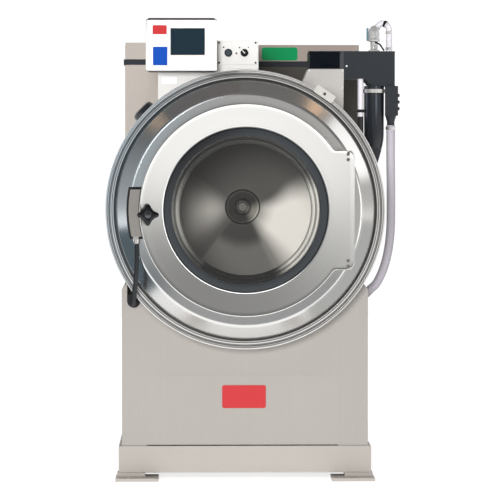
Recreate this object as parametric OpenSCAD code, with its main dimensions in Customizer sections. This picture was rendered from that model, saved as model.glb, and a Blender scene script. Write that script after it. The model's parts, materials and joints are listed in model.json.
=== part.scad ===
// Open-pocket washer-extractor: a horizontal drum in a round shell that stands in an open base,
// with a round glass door, a control box on top, a supply box at the upper right and the drive
// in a cabinet behind. Millimetres. X to the right, the front faces -Y, Z up.
// The origin is the centre of the floor anchor pattern, at the floor.

/* [Base] */
// Length of the front and rear channels
base_w = 792; // [780:2:800]
// Depth over the faces of the front and rear channels
base_d = 970; // [960:2:990]
// Height of the channels
channel_h = 84; // [70:1:90]
// Width of the channel flanges
channel_flange = 60; // [40:1:70]
// Wall of the channels
channel_t = 6; // [4:0.5:8]
// Thickness of the foot pads
pad_t = 10; // [8:0.5:14]
// Width of a foot pad
pad_w = 134; // [120:1:150]
// Depth of a foot pad
pad_d = 136; // [125:1:150]
// How far the pads stand past the ends of the channels, sideways
pad_side = 9; // [4:1:14]
// How far the pads stand past the faces of the channels
pad_reach = 65; // [58:1:75]
// Height of the leg between pad and channel
leg_h = 12; // [8:1:20]
// Width of a leg
leg_w = 88; // [70:1:100]
// Anchor spacing across the machine
anchor_x = 730; // [700:2:750]
// Anchor spacing from front to back
anchor_y = 1040; // [1030:2:1050]
// Diameter of the anchor holes
anchor_d = 18; // [14:1:22]

/* [Cabinet] */
// Width over the side panels
cabinet_w = 772; // [768:1:776]
// How far the front panel's face lies behind the front channel's face
panel_set = 5; // [3:1:8]
// Height of the front panel's side edges
panel_h = 491; // [470:1:500]
// Width of the chamfer at the front panel's upper corners
chamfer_w = 16; // [10:1:20]
// Height of the same chamfer
chamfer_h = 21; // [15:1:26]
// Thickness of the cabinet sheets
sheet_t = 3; // [2:0.5:4]
// Distance of the conduit slot's middle from the side of the front panel
slot_side = 37.5; // [36:0.5:40]
// Width of the conduit slot
slot_w = 41; // [36:1:44]
// Height of the slot's round bottom above the floor
slot_z = 540; // [534:1:543]
// Top of the rear cabinet above the floor
rear_top = 1309; // [1300:1:1320]
// Front of the rear cabinet behind the origin
rear_front = 50; // [49:1:56]
// Thickness of the bulkhead
bulkhead_t = 8; // [6:1:10]
// Height of the black band on the rear cabinet
band_h = 18; // [16:1:30]
// Height of the electrical box on the band
ebox_h = 54; // [40:1:70]
// How far the left wing of the electrical box stands ahead of the rear cabinet
wing_d = 200; // [150:5:230]
// How far the wing is drawn in from the cabinet's side, under and over the band
wing_set = 5; // [3:1:10]

/* [Shell] */
// Height of the drum axis above the floor
axis_z = 848; // [846:1:850]
// Outer radius of the shell
shell_r = 425; // [423:1:427]
// Wall of the shell
shell_t = 3; // [2:0.5:4]
// Front edge of the shell ahead of the origin
shell_front = 545; // [540:1:550]
// Back of the shell behind the origin
shell_back = 45; // [42:1:48]
// How far the clamp ring stands out past the shell
rim_over = 10; // [8:1:13]
// Width of the clamp ring along the axis
rim_w = 34; // [28:1:40]
// How far the bulging band of the shell front lies inside the shell's radius
bulge_in = 24; // [22:1:27]
// Width of the bulging band, out to the edge of the flat face
bulge_w = 40; // [35:1:45]
// Flat face of the shell front ahead of the origin
face_y = 626; // [620:1:630]
// Radius of the throat behind the door
throat_r = 228; // [220:1:232]
// Thickness of the pressed shell front
head_t = 4; // [3:0.5:5]

/* [Door] */
// Outer radius of the door ring
door_r = 328; // [320:1:332]
// Radius of the door ring's opening
door_hole_r = 255; // [250:1:260]
// Height of the door ring's outer edge ahead of the shell's flat face
door_lift = 38; // [36:1:42]
// Forward rise of the dished door ring per millimetre of radius
door_dish = 0.125; // [0.08:0.005:0.14]
// Skin of the door ring
door_t = 5; // [4:0.5:6]
// Gap between the shell's flat face and the door ring's walls
door_gap = 15; // [13:1:17]
// Distance of the hinge plate's edge from the middle
ear_x = 334; // [332:1:336]
// Half the height of the hinge plate
ear_z = 183; // [180:1:186]
// Radius of the hinge plate's outer corners
ear_corner = 25; // [15:1:30]
// Radius of the hollow blend between hinge plate and ring
ear_blend = 20; // [12:1:26]
// Distance of the hinge axis from the middle
hinge_x = 323; // [321:1:325]
// Radius of the hinge pins
hinge_pin_r = 5; // [4:0.5:6]
// Inner radius of the window gasket
window_r = 229; // [222:1:234]
// Thickness of the window glass
glass_t = 6; // [5:0.5:8]
// Distance of the star knob from the middle
knob_x = 301; // [298:1:304]
// Distance of the star knob below the drum axis
knob_drop = 14; // [8:1:20]
// Radius over the star knob's lobes
knob_r = 34; // [28:1:38]
// Radius of the latch spindle
spindle_r = 8; // [6:0.5:9]
// Reach of the latch pawl
pawl_l = 44; // [40:1:45]

/* [Controls] */
// Width of the control box
control_w = 215; // [205:1:216]
// Distance of the control box's centre left of the middle
control_x = 198.5; // [197:0.5:200]
// Bottom of the control box above the floor
control_z = 1276; // [1275:1:1280]
// Height of the control box
control_h = 167; // [150:1:175]
// Depth of the control box
control_d = 60; // [40:1:70]
// Thickness of the control box's face
bezel_t = 22; // [12:1:25]
// Width of the touch screen
screen_w = 105; // [90:1:110]
// Height of the touch screen
screen_h = 82; // [70:1:90]
// Left edge of the control housing
support_left = 272; // [265:1:280]
// Right edge of the control housing
support_right = 42; // [40:1:48]
// Top of the control housing above the floor
support_top = 1375; // [1374:1:1380]
// Height of the switches above the floor
switch_z = 1337; // [1334:1:1340]
// Distance from the push button to the selector
switch_pitch = 50; // [46:1:52]
// Radius of the push button
button_r = 12; // [10:0.5:13]
// Travel of the push button
button_travel = 4; // [2:0.5:5]
// Radius of the selector knob
selector_r = 12; // [10:0.5:13]

/* [Supply] */
// Left end of the supply box
supply_left = 207; // [203:1:209]
// Right end of the supply box
supply_right = 478; // [474:1:484]
// Top of the supply box above the floor
supply_top = 1347; // [1343:1:1352]
// Height of the supply box over the chute
supply_h = 56; // [52:1:59]
// Step of its underside to the right of the chute
supply_step = 31; // [26:1:36]
// Depth of its underside's right end below the chute's top
supply_drop = 54; // [48:1:58]
// Front of the supply box ahead of the origin
supply_front = 350; // [340:1:360]
// Depth of the supply box
supply_d = 180; // [160:1:200]
// Width of the flap at the box's left end
flap_w = 95; // [85:1:98]
// Thickness of the flap
flap_t = 4; // [3:0.5:5]
// Middle of the large supply hose
hose_x = 413; // [412:0.5:415]
// Length of the large hose's straight stretch
hose_straight = 147; // [140:1:150]
// Radius of the large supply hose
hose_r = 32; // [28:1:32]
// Height of the dosing manifold
manifold_h = 94; // [85:1:100]
// Radius of the clear flush hose
flush_r = 14; // [12:0.5:15]

/* [Drum] */
// Space between the shell's wall and the drum
drum_space = 41; // [36:1:46]
// Wall of the drum
drum_t = 3; // [2:0.5:4]
// Depth of the drum
drum_d = 550; // [540:1:552]
// Radius of the drum's mouth
mouth_r = 204; // [196:1:212]
// How far the dished back stands forward at the hub
back_dish = 35; // [25:1:45]
// Number of lifting ribs
rib_n = 3; // [2:1:4]
// Height of a lifting rib
rib_h = 105; // [80:1:120]
// Radius of the drum shaft
shaft_r = 30; // [26:1:34]
// Radius of the hub plate in the drum
hub_r = 58; // [50:1:64]

/* [Drive and drain] */
// Radius of the drum pulley
pulley_r = 190; // [180:1:200]
// Radius of the motor pulley
motor_pulley_r = 47; // [42:1:55]
// Depth of the belt grooves
groove_d = 12; // [10:0.5:14]
// Number of belts
belt_n = 3; // [2:1:4]
// Spacing of the belts
belt_pitch = 17; // [15:0.5:19]
// Middle of the belts behind the origin
belt_y = 358; // [350:1:364]
// Sideways distance of the motor
motor_x = 180; // [160:1:200]
// Height of the motor axis above the floor
motor_z = 330; // [325:1:345]
// Radius of the motor
motor_r = 92; // [80:1:95]
// Length of the motor
motor_l = 230; // [200:1:240]
// Outer radius of the drain pipe
drain_r = 38; // [34:0.5:40]
// Height of the drain pipe's axis above the floor
drain_z = 250; // [240:1:260]
// How far the drain pipe stands out behind the cabinet
drain_out = 60; // [50:1:80]
// Length of the turned hose spigot at the drain pipe's end
spigot_l = 55; // [40:1:55]
// Radius of the water inlets
inlet_r = 13.2; // [12:0.1:16]
// Length of the water inlets
inlet_l = 24; // [18:1:32]

/* [Hidden] */
$fn = 96;
// Gap between pieces that are seated on each other
gap = 0.3;
// Radial clearance of a running fit
run = 0.05;
// Overlap of cutters past the faces that they cut
eps = 1;

// Heights
channel_z = pad_t + leg_h;
base_top = channel_z + channel_h;
panel_top = base_top + panel_h;
band_top = rear_top + band_h;
// Hole for the power lead in the back of the electrical box
lead_hole_r = 14;
lead_x = -250;
// Width of the wing, from the cabinet's left side to the control housing
wing_w = cabinet_w / 2 - support_left - gap;

// Distances from front to back: those named front are ahead of the origin
base_front = base_d / 2;
panel_front = base_front - panel_set;
rear_back = base_front - panel_set;
support_front = panel_front;

// Shell front
rim_r = shell_r + rim_over;
bulge_r = shell_r - bulge_in;
face_r = bulge_r - bulge_w;
flange_y = shell_front + head_t;
rim_front = shell_front + 14;
bulge_steps = 8;

// Door
door_back = face_y + door_gap;
function door_y(r) = face_y + door_lift - door_dish * (door_r - r);
hinge_y = door_back + 7;
bracket_z0 = 100;
bracket_z1 = 130;
lug_z0 = bracket_z1 + 1;
lug_z1 = ear_z - 5;
knuckle_r = hinge_pin_r + 3;
bolt_x = ear_x - 21;
bolt_z = [ear_z - 28, ear_z - 11];
bolt_r = 3;
pawl_t = 8;
pawl_y = face_y + 4.5;
glass_y = door_back + 5;
gasket_lip = 11;

// Latch housing on the flat face, left of the door
latch_r0 = door_r + 2;
latch_r1 = face_r;
latch_low = -81;
latch_high = 64;
latch_y = face_y + gap;
latch_t = 26;

// Conduit from the latch housing to the slot: x, y, z
conduit_r = 7.5;
slot_x = cabinet_w / 2 - slot_side;
conduit_route = [
    [-336, -640, 745], [-336, -640, 718], [-336, -637, 690], [-337, -629, 664],
    [-339, -617, 640], [-slot_x + 7.5, -602, 617], [-slot_x + 4.5, -587, 597],
    [-slot_x + 2.5, -571, 578], [-slot_x + 0.5, -548, 563], [-slot_x, -525, 555],
    [-slot_x, -505, 552], [-slot_x, -488, 552]
];
conduit_sides = 8;

// Supply box's undersides
supply_low = supply_top - supply_h;
supply_mid = supply_low - supply_step;
supply_foot = supply_low - supply_drop;

// Flush hose from the manifold to the right side panel: x, y, z
flush_x = 466;
flush_y = -335;
manifold_low = supply_foot - manifold_h;
nozzle_h = 31;
flush_top = manifold_low - nozzle_h;
side_x = cabinet_w / 2;
flush_route = [
    [flush_x, flush_y, flush_top], [flush_x, flush_y, flush_top - 42],
    [flush_x, flush_y, flush_top - 112], [flush_x + 1, flush_y, 920],
    [flush_x + 1, flush_y - 1, 850], [flush_x, flush_y - 3, 790], [side_x + 75, -341, 735],
    [side_x + 66, -344, 688], [side_x + 52, -346, 645], [side_x + 34, -347, 610],
    [side_x + 18, -347, 594]
];
flush_sides = 12;
flush_end = flush_route[len(flush_route) - 1];

// Controls
control_front = support_front + gap + control_d;
face_front = control_front + bezel_t;
screen_x = control_x - 19.5;
screen_z = control_z + 93;
button_x = -52;
plate_t = 4;
plate_front = support_front + gap + plate_t;
plate_left = -86;
plate_right = 38;
plate_low = switch_z - 36;
plate_high = switch_z + 36;

// Supply
flap_pin_r = 1.8;
flap_z = supply_top - 3;
flap_y = supply_front + 1.6 + flap_t / 2;
hose_y = supply_front - 20;
hose_top = supply_foot;
hose_bend_z = hose_top - hose_straight;
hose_bend_r = 170;
hose_turn = 16;
hose_spigot_l = 90;
drip_x = 369.5;
drip_r = 9.5;
drip_y = hose_y + 11;
drip_low = axis_z + 226;
drip_stub_r = drip_r - 3;
drip_clamp_z = drip_low + 79;
clamp_down = 22;
fill_hose_r = 9.5;
fill_tube_r = 10;
fill_x = 418;
fill_y = 250;
fill_bend_z = 1416;
fill_bend_r = 24;
manifold_x0 = hose_x + hose_r + 4;
manifold_x1 = 488;

// Drum
drum_r = shell_r - shell_t - drum_space;
drum_front = shell_front - 5;
drum_rear = drum_front - drum_d;
back_t = 4;

// Drive
groove_w = 13;
belt_w = 11;
belt_t = 8;
belt_gap = 0.4;
pulley_w = belt_n * belt_pitch + 6;
bearing_r = 55;
bearing_wall = 25;
bearing_flange = 90;
bearing_l = 190;
bearing_w = 30;

// Drain
valve_y = 115;
valve_l = 110;
valve_r = 62;
ball_r = 45;
ball_bore = 34;
sump_y0 = valve_y + valve_l / 2 + 1;
sump_d = 99;
sump_w = 140;
spigot_r = drain_r - 0.5;

// Water inlets
inlet_x = [230, 310];
inlet_z = 1180;
inlet_block = 50;

// Vectors for pressed sheets and hoses
function unit(v) = v / norm(v);
function left_of(v) = [-v[1], v[0]];
function run_dir(p, i) = unit(p[min(i + 1, len(p) - 1)] - p[max(i - 1, 0)]);
// Outline of a sheet of thickness t on the left of the path p
function sheet(p, t) = concat(p, [for (i = [len(p) - 1:-1:0]) p[i] + t * left_of(run_dir(p, i))]);
// Quadratic curve from a to c, pulled towards b, in n steps
function bow(a, b, c, n) = [
    for (i = [0:n]) let (u = i / n) (1 - u) * (1 - u) * a + 2 * u * (1 - u) * b + u * u * c
];

// Puts a front view on the drum axis: x right, y up from the axis, z forward
module on_axis() {
    translate([0, 0, axis_z]) rotate([90, 0, 0]) children();
}

// Puts a front view on the floor: x right, y up from the floor, z forward
module front_view() {
    rotate([90, 0, 0]) children();
}

// Rectangle with round corners, centred
module round_rect(w, h, r) {
    square([w - 2 * r, h], center = true);
    square([w, h - 2 * r], center = true);
    for (sx = [-1, 1], sy = [-1, 1])
        translate([sx * (w / 2 - r), sy * (h / 2 - r)]) circle(r);
}

// Round bar with ends at distances y0 and y1 ahead of the origin, at x and z
module bar_y(x, z, r, y0, y1) {
    front_view() translate([x, z, y0]) cylinder(r = r, h = y1 - y0);
}

// The space inside a cylinder of radius r round the drum axis
module axis_core(r) {
    on_axis() translate([0, 0, -700]) cylinder(r = r, h = 1500, $fn = 128);
}

// Tube swept along a route, closed at both ends, n sides
module swept_tube(p, r, n) {
    m = len(p);
    side = [for (i = [0:m - 1]) unit(cross(run_dir(p, i), [0.2, 1, 0.1]))];
    rings = [for (i = [0:m - 1], k = [0:n - 1])
        let (a = 360 * k / n, s = side[i], u = cross(run_dir(p, i), s))
            p[i] + r * (cos(a) * s + sin(a) * u)];
    walls = [for (i = [0:m - 2], k = [0:n - 1])
        [i * n + k, i * n + (k + 1) % n, (i + 1) * n + (k + 1) % n, (i + 1) * n + k]];
    tris = [for (w = walls, t = [[0, 2, 1], [0, 3, 2]]) [w[t[0]], w[t[1]], w[t[2]]]];
    start = [for (k = [1:n - 2]) [0, k, k + 1]];
    end = [for (k = [1:n - 2]) [(m - 1) * n, (m - 1) * n + k + 1, (m - 1) * n + k]];
    polyhedron(concat(rings), concat(tris, start, end));
}

// Channel of length l along X, web at the front, flanges to the back
module channel(l) {
    translate([-l / 2, 0, 0]) cube([l, channel_t, channel_h]);
    translate([-l / 2, 0, 0]) cube([l, channel_flange, channel_t]);
    translate([-l / 2, 0, channel_h - channel_t]) cube([l, channel_flange, channel_t]);
}

module cross_channels() {
    color([0.79, 0.76, 0.72])
        for (turn = [0, 180])
            rotate(turn) translate([0, -base_front, channel_z]) channel(base_w);
}

module side_rails() {
    rail_l = base_d - 2 * channel_flange - 2 * gap;
    color([0.79, 0.76, 0.72])
        for (turn = [0, 180])
            rotate(turn) translate([base_w / 2, 0, channel_z]) rotate(90) channel(rail_l);
}

module floor_pads() {
    x1 = base_w / 2 + pad_side;
    y1 = base_front + pad_reach;
    color([0.74, 0.71, 0.68])
        for (mx = [0, 1], my = [0, 1])
            mirror([mx, 0, 0]) mirror([0, my, 0]) difference() {
                union() {
                    translate([x1 - pad_w, -y1, 0]) cube([pad_w, pad_d, pad_t]);
                    translate([x1 - leg_w - 4, -base_front + 4, pad_t - eps])
                        cube([leg_w, channel_flange, leg_h + eps]);
                }
                translate([anchor_x / 2, -anchor_y / 2, -eps])
                    cylinder(d = anchor_d, h = pad_t + 2 * eps);
            }
}

// Outline of the front panel, seen from the front
module front_outline() {
    w = cabinet_w / 2;
    difference() {
        polygon([
            [-w, base_top], [w, base_top], [w, panel_top], [w - chamfer_w, panel_top + chamfer_h],
            [-w + chamfer_w, panel_top + chamfer_h], [-w, panel_top]
        ]);
        translate([0, axis_z]) circle(shell_r + 3, $fn = 128);
        translate([-slot_x, slot_z + slot_w / 2]) circle(d = slot_w);
        translate([-slot_x - slot_w / 2, slot_z + slot_w / 2]) square([slot_w, 200]);
    }
}

module front_panel() {
    color([0.8, 0.77, 0.74])
        front_view() translate([0, 0, panel_front - sheet_t]) linear_extrude(sheet_t)
            front_outline();
}

// Side panels: low beside the shell, full height beside the drive
module side_panels() {
    y0 = -(panel_front - sheet_t - gap);
    color([0.77, 0.74, 0.7])
        for (sx = [-1, 1])
            translate([sx * (cabinet_w - sheet_t) / 2 - sheet_t / 2, 0, 0])
                rotate([90, 0, 90]) linear_extrude(sheet_t)
                    polygon([
                        [y0, base_top], [rear_back, base_top], [rear_back, rear_top],
                        [rear_front, rear_top], [rear_front, panel_top], [y0, panel_top]
                    ]);
}

module shell_cradles() {
    cradle_w = 680;
    cradle_t = 12;
    cradle_h = 330;
    color([0.6, 0.59, 0.57])
        difference() {
            for (y = [base_front - channel_flange, -20])
                front_view() translate([0, 0, y - cradle_t]) linear_extrude(cradle_t)
                    difference() {
                        translate([-cradle_w / 2, base_top]) square([cradle_w, cradle_h]);
                        translate([0, axis_z]) circle(shell_r + gap, $fn = 128);
                    }
            translate([0, 0, drain_z]) rotate([-90, 0, 0]) cylinder(r = drain_r + 3, h = 60);
        }
}

module shell() {
    r1 = shell_r - shell_t;
    color([0.82, 0.81, 0.79])
        difference() {
            on_axis() rotate_extrude($fn = 128) polygon([
                [r1, shell_front], [shell_r, shell_front], [shell_r, -shell_back],
                [shaft_r + 15, -shell_back], [shaft_r + 15, -shell_back + shell_t * 2],
                [r1, -shell_back + shell_t * 2]
            ]);
            translate([0, -(sump_y0 + sump_d / 2), axis_z - shell_r - 40])
                cylinder(r = 42, h = 60);
        }
}

module front_head() {
    path = concat(
        [[shell_r - 1, flange_y - 1], [shell_r - 3, flange_y + 2], [bulge_r + 8, flange_y + 3],
         [bulge_r + 4.5, flange_y + 1.5], [bulge_r + 2.5, flange_y - 2]],
        bow([bulge_r, flange_y + 1], [bulge_r - 3, flange_y + 47], [face_r, face_y - 7],
            bulge_steps),
        bow([face_r, face_y - 6], [face_r - 1, face_y], [face_r - 7, face_y], 4),
        [[throat_r + 10, face_y]],
        bow([throat_r + 9, face_y], [throat_r, face_y], [throat_r, face_y - 9], 4),
        [[throat_r, flange_y + 8]]
    );
    color([0.78, 0.78, 0.76])
        on_axis() rotate_extrude($fn = 128) polygon(sheet(path, head_t));
}

module clamp_ring() {
    r0 = shell_r + gap;
    y0 = rim_front - rim_w;
    color([0.88, 0.88, 0.86])
        on_axis() rotate_extrude($fn = 128) polygon([
            [r0, y0], [rim_r, y0], [rim_r, rim_front - 4], [rim_r - 1.5, rim_front - 0.5],
            [rim_r - 3, rim_front], [rim_r - 5, rim_front - 0.5], [rim_r - 6, rim_front - 4],
            [rim_r - 6, rim_front - 10], [r0, rim_front - 10]
        ]);
}

// Cover over the joint of the clamp ring, at the upper right
module clamp_plate() {
    plate_w = 68;
    plate_h = 26;
    color([0.84, 0.82, 0.8])
        on_axis() rotate(55.6) translate([rim_r, 0, rim_front + 0.1]) rotate(90) {
            linear_extrude(3) round_rect(plate_w, plate_h, 3);
            translate([0, 0, 2]) cylinder(r = 4.5, h = 3.5);
        }
}

module vent_boot() {
    color([0.1, 0.1, 0.1])
        difference() {
            on_axis() rotate(136) translate([0, 0, shell_front - 75]) rotate([0, 90, 0])
                rotate_extrude() polygon([
                    [0, shell_r - 8], [37, shell_r - 8], [37, shell_r + 18],
                    [34, shell_r + 25], [26, shell_r + 29], [0, shell_r + 30]
                ]);
            axis_core(shell_r + gap);
        }
}

// Door hinge: fixed brackets with their pins, above and below the middle
module hinge_brackets() {
    color([0.7, 0.7, 0.69])
        for (m = [0, 1])
            on_axis() mirror([0, m, 0]) {
                translate([hinge_x, bracket_z0, 0]) rotate([-90, 0, 0])
                    linear_extrude(bracket_z1 - bracket_z0) {
                        translate([0, -hinge_y]) circle(knuckle_r);
                        translate([-knuckle_r, -hinge_y])
                            square([knuckle_r + 4, hinge_y - face_y]);
                        translate([-knuckle_r - 16, -face_y - 6]) square([knuckle_r + 20, 6]);
                    }
                translate([hinge_x, bracket_z0 + 5, hinge_y]) rotate([-90, 0, 0])
                    cylinder(r = hinge_pin_r, h = lug_z1 - bracket_z0);
            }
}

module hinge_lugs() {
    color([0.7, 0.7, 0.69])
        for (m = [0, 1])
            on_axis() mirror([0, m, 0]) difference() {
                translate([hinge_x, lug_z0, 0]) rotate([-90, 0, 0])
                    linear_extrude(lug_z1 - lug_z0) {
                        translate([0, -hinge_y]) circle(knuckle_r);
                        translate([-knuckle_r - 8, -hinge_y - 30])
                            square([2 * knuckle_r + 8, 30]);
                    }
                door_cone(-door_t - 0.1, 40);
                translate([hinge_x, lug_z0 - eps, hinge_y]) rotate([-90, 0, 0])
                    cylinder(r = hinge_pin_r + run, h = 100);
                hinge_bolt_holes();
            }
}

module hinge_bolt_holes() {
    for (z = bolt_z)
        translate([bolt_x, z, hinge_y + knuckle_r]) cylinder(r = bolt_r + gap, h = 60);
}

module hinge_bolts() {
    head_y = door_y(norm([bolt_x, bolt_z[1]])) + 0.6;
    color([0.5, 0.5, 0.5])
        for (m = [0, 1], z = bolt_z)
            on_axis() mirror([0, m, 0]) translate([bolt_x, z, 0]) {
                translate([0, 0, hinge_y + knuckle_r + gap])
                    cylinder(r = bolt_r, h = head_y - hinge_y - knuckle_r);
                translate([0, 0, head_y]) cylinder(r = 5.5, h = 4, $fn = 6);
            }
}

// Slab between two cones parallel to the door's dish, from lower offset a to upper offset b
module door_cone(a, b, r0 = 0) {
    r1 = ear_x + 80;
    rotate_extrude($fn = 128) polygon([
        [r0, door_y(r0) + a], [r1, door_y(r1) + a], [r1, door_y(r1) + b], [r0, door_y(r0) + b]
    ]);
}

// Door ring and hinge plate in one outline
module door_outline() {
    blend_z = ear_z + ear_blend;
    blend_x = sqrt(pow(door_r + ear_blend, 2) - pow(blend_z, 2));
    circle(door_r, $fn = 128);
    for (m = [0, 1]) mirror([0, m]) difference() {
        union() {
            square([ear_x, ear_z - ear_corner]);
            square([ear_x - ear_corner, ear_z]);
            translate([ear_x - ear_corner, ear_z - ear_corner]) circle(ear_corner);
            polygon([
                [blend_x * 0.8, ear_z * 0.8], [blend_x, ear_z - eps], [blend_x, blend_z],
                [blend_x, blend_z] * door_r / (door_r + ear_blend)
            ]);
        }
        translate([blend_x, blend_z]) circle(ear_blend);
    }
}

module door_ring() {
    wall_r = door_r - 0.5;
    color([0.86, 0.86, 0.84])
        on_axis() difference() {
            union() {
                intersection() {
                    linear_extrude(face_y + 100) door_outline();
                    door_cone(-door_t, 0);
                }
                translate([0, 0, door_back]) linear_extrude(door_y(wall_r) - door_back - 2)
                    difference() {
                        circle(wall_r, $fn = 128);
                        circle(wall_r - 3.5, $fn = 128);
                    }
                translate([0, 0, door_back])
                    linear_extrude(door_y(door_hole_r) - door_back - 2)
                        circle(door_hole_r + 3.5, $fn = 128);
            }
            cylinder(r = door_hole_r, h = 800, $fn = 128);
            translate([-knob_x, -knob_drop, 0]) cylinder(r = spindle_r + run, h = 800);
            for (m = [0, 1]) mirror([0, m, 0]) hinge_bolt_holes();
        }
}

// Window gasket with the glass in its groove, and the seal against the shell front
module door_seals() {
    r1 = door_hole_r - gap;
    lip_y = door_y(door_hole_r) + 1;
    color([0.3, 0.32, 0.34])
        on_axis() {
            rotate_extrude($fn = 128) polygon([
                [window_r, door_back + 1], [r1, door_back + 1], [r1, lip_y - 3],
                [r1 - 4, lip_y], [window_r + 6, lip_y], [window_r, lip_y - 3],
                [window_r, glass_y + glass_t + gap],
                [window_r + gasket_lip, glass_y + glass_t + gap],
                [window_r + gasket_lip, glass_y - gap], [window_r, glass_y - gap]
            ]);
            rotate_extrude($fn = 128) polygon([
                [throat_r + 10, face_y + gap], [door_hole_r + 3, face_y + gap],
                [door_hole_r + 3, door_back], [throat_r + 14, door_back],
                [throat_r + 10, door_back - 4]
            ]);
        }
}

module door_glass() {
    color([0.7, 0.75, 0.78, 0.4])
        on_axis() translate([0, 0, glass_y])
            cylinder(r = window_r + gasket_lip - gap, h = glass_t, $fn = 128);
}

module star_knob() {
    lobe_r = 5.5;
    base_y = door_y(knob_x + 16) + 0.5;
    color([0.07, 0.07, 0.07])
        on_axis() translate([-knob_x, -knob_drop, base_y]) {
            difference() {
                union() {
                    cylinder(r = 15, h = 10);
                    translate([0, 0, 9]) linear_extrude(18) {
                        circle(knob_r * 0.45);
                        for (a = [0:90:270]) rotate(a) {
                            translate([knob_r - lobe_r, 0]) circle(lobe_r);
                            polygon([
                                [0, -2 * lobe_r], [knob_r - lobe_r, -lobe_r],
                                [knob_r - lobe_r, lobe_r], [0, 2 * lobe_r]
                            ]);
                        }
                    }
                    translate([0, 0, 26]) cylinder(r = 12, h = 4);
                }
                translate([0, 0, -eps]) cylinder(r = spindle_r + run, h = 21);
            }
        }
}

// Spindle through the door with the pawl behind it, which points up when it is open
module latch_pawl() {
    tip_y = door_y(knob_x + 16) + 20;
    color([0.62, 0.62, 0.6])
        on_axis() translate([-knob_x, -knob_drop, 0]) {
            translate([0, 0, pawl_y]) cylinder(r = spindle_r, h = tip_y - pawl_y);
            translate([0, 0, pawl_y]) linear_extrude(pawl_t) {
                circle(spindle_r + 4);
                translate([-8, 0]) square([16, pawl_l - 8]);
                translate([0, pawl_l - 8]) circle(8);
            }
        }
}

module latch_housing() {
    color([0.68, 0.67, 0.65])
        on_axis() difference() {
            intersection() {
                rotate_extrude($fn = 128)
                    translate([latch_r0, latch_y]) square([latch_r1 - latch_r0, latch_t]);
                translate([-latch_r1 - 10, latch_low, 0])
                    cube([latch_r1, latch_high - latch_low, 800]);
            }
            translate([-knob_x - pawl_l - 4, -knob_drop - 14, pawl_y - 1.5])
                cube([pawl_l + 4, pawl_l + 20, pawl_t + 3]);
        }
}

// Nut under the latch housing, and the gland behind the slot in the front panel
module conduit_fittings() {
    a = conduit_route[0];
    b = conduit_route[len(conduit_route) - 1];
    nut_top = axis_z + latch_low;
    color([0.75, 0.75, 0.73]) {
        translate([a[0], a[1], a[2]]) cylinder(r = 9, h = nut_top - a[2] - 8);
        translate([a[0], a[1], nut_top - 9]) cylinder(r = 11, h = 9, $fn = 6);
        difference() {
            front_view() translate([b[0], b[2], panel_front - sheet_t - gap - 3])
                linear_extrude(3) square([64, 56], center = true);
            axis_core(shell_r + 2);
        }
        bar_y(b[0], b[2], 10.5, panel_front - sheet_t - gap - eps, -b[1]);
    }
}

module door_conduit() {
    color([0.08, 0.08, 0.08]) swept_tube(conduit_route, conduit_r, conduit_sides);
}

// Housing on top of the shell that carries the controls
module control_support() {
    back = -(shell_back - 1);
    w = support_left + support_right;
    skin = 2;
    color([0.87, 0.86, 0.84])
        difference() {
            translate([-support_left, -support_front, axis_z])
                cube([w, support_front - back, support_top - axis_z]);
            translate([-support_left + skin, -support_front + skin, axis_z - eps])
                cube([w - 2 * skin, support_front - back - 2 * skin,
                      support_top - axis_z - skin + eps]);
            axis_core(shell_r + gap);
            translate([0, -support_front - eps, 0]) switch_holes(button_r + 1, 6, 4);
        }
}

// Holes for the push button and the selector, cut from the front backwards
module switch_holes(r_button, r_selector, depth) {
    translate([button_x, 0, switch_z]) rotate([-90, 0, 0]) cylinder(r = r_button, h = depth);
    translate([button_x + switch_pitch, 0, switch_z]) rotate([-90, 0, 0])
        cylinder(r = r_selector, h = depth);
}

module control_box() {
    color([0.36, 0.33, 0.31])
        front_view() translate([-control_x, control_z + control_h / 2, support_front + gap])
            linear_extrude(control_d) round_rect(control_w, control_h, 9);
}

module control_face() {
    face_w = control_w + 6;
    face_h = control_h - 7;
    color([0.96, 0.96, 0.96])
        front_view() difference() {
            translate([-control_x, control_z + 1.5 + face_h / 2, control_front])
                linear_extrude(bezel_t) round_rect(face_w, face_h, 4);
            translate([-screen_x, screen_z, face_front - 4]) linear_extrude(5)
                square([screen_w + 2 * gap, screen_h + 2 * gap], center = true);
        }
}

module touch_screen() {
    color([0.14, 0.18, 0.21])
        front_view() translate([-screen_x, screen_z, face_front - 4]) linear_extrude(3)
            square([screen_w, screen_h], center = true);
}

// Corner screws of the switch plate and side screws of the control box
module panel_screws() {
    screw_r = 3;
    screw_h = 2.5;
    inset = 5;
    color([0.3, 0.29, 0.28]) {
        for (x = [plate_left + inset, plate_right - inset])
            for (z = [plate_low + inset, plate_high - inset])
                bar_y(x, z, screw_r, plate_front, plate_front + screw_h);
        for (sx = [-1, 1], z = [26, control_h - 26])
            translate([-control_x + sx * control_w / 2, -support_front - control_d / 2,
                       control_z + z])
                rotate([0, sx * 90, 0]) cylinder(r = screw_r, h = screw_h);
    }
}

module switch_plate() {
    color([0.84, 0.82, 0.79])
        difference() {
            front_view() translate([plate_left, 0, support_front + gap]) {
                linear_extrude(plate_t) translate([0, plate_low])
                    square([plate_right - plate_left, plate_high - plate_low]);
                linear_extrude(plate_t / 2) translate([0, plate_low - 13])
                    square([plate_right - plate_left, 14]);
            }
            translate([0, -plate_front - eps, 0]) switch_holes(button_r + gap, 4 + run, 8);
        }
}

module stop_button() {
    color([0.08, 0.08, 0.08])
        bar_y(button_x, switch_z, button_r, support_front - button_travel - 2,
              plate_front + button_travel + 5);
}

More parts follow.
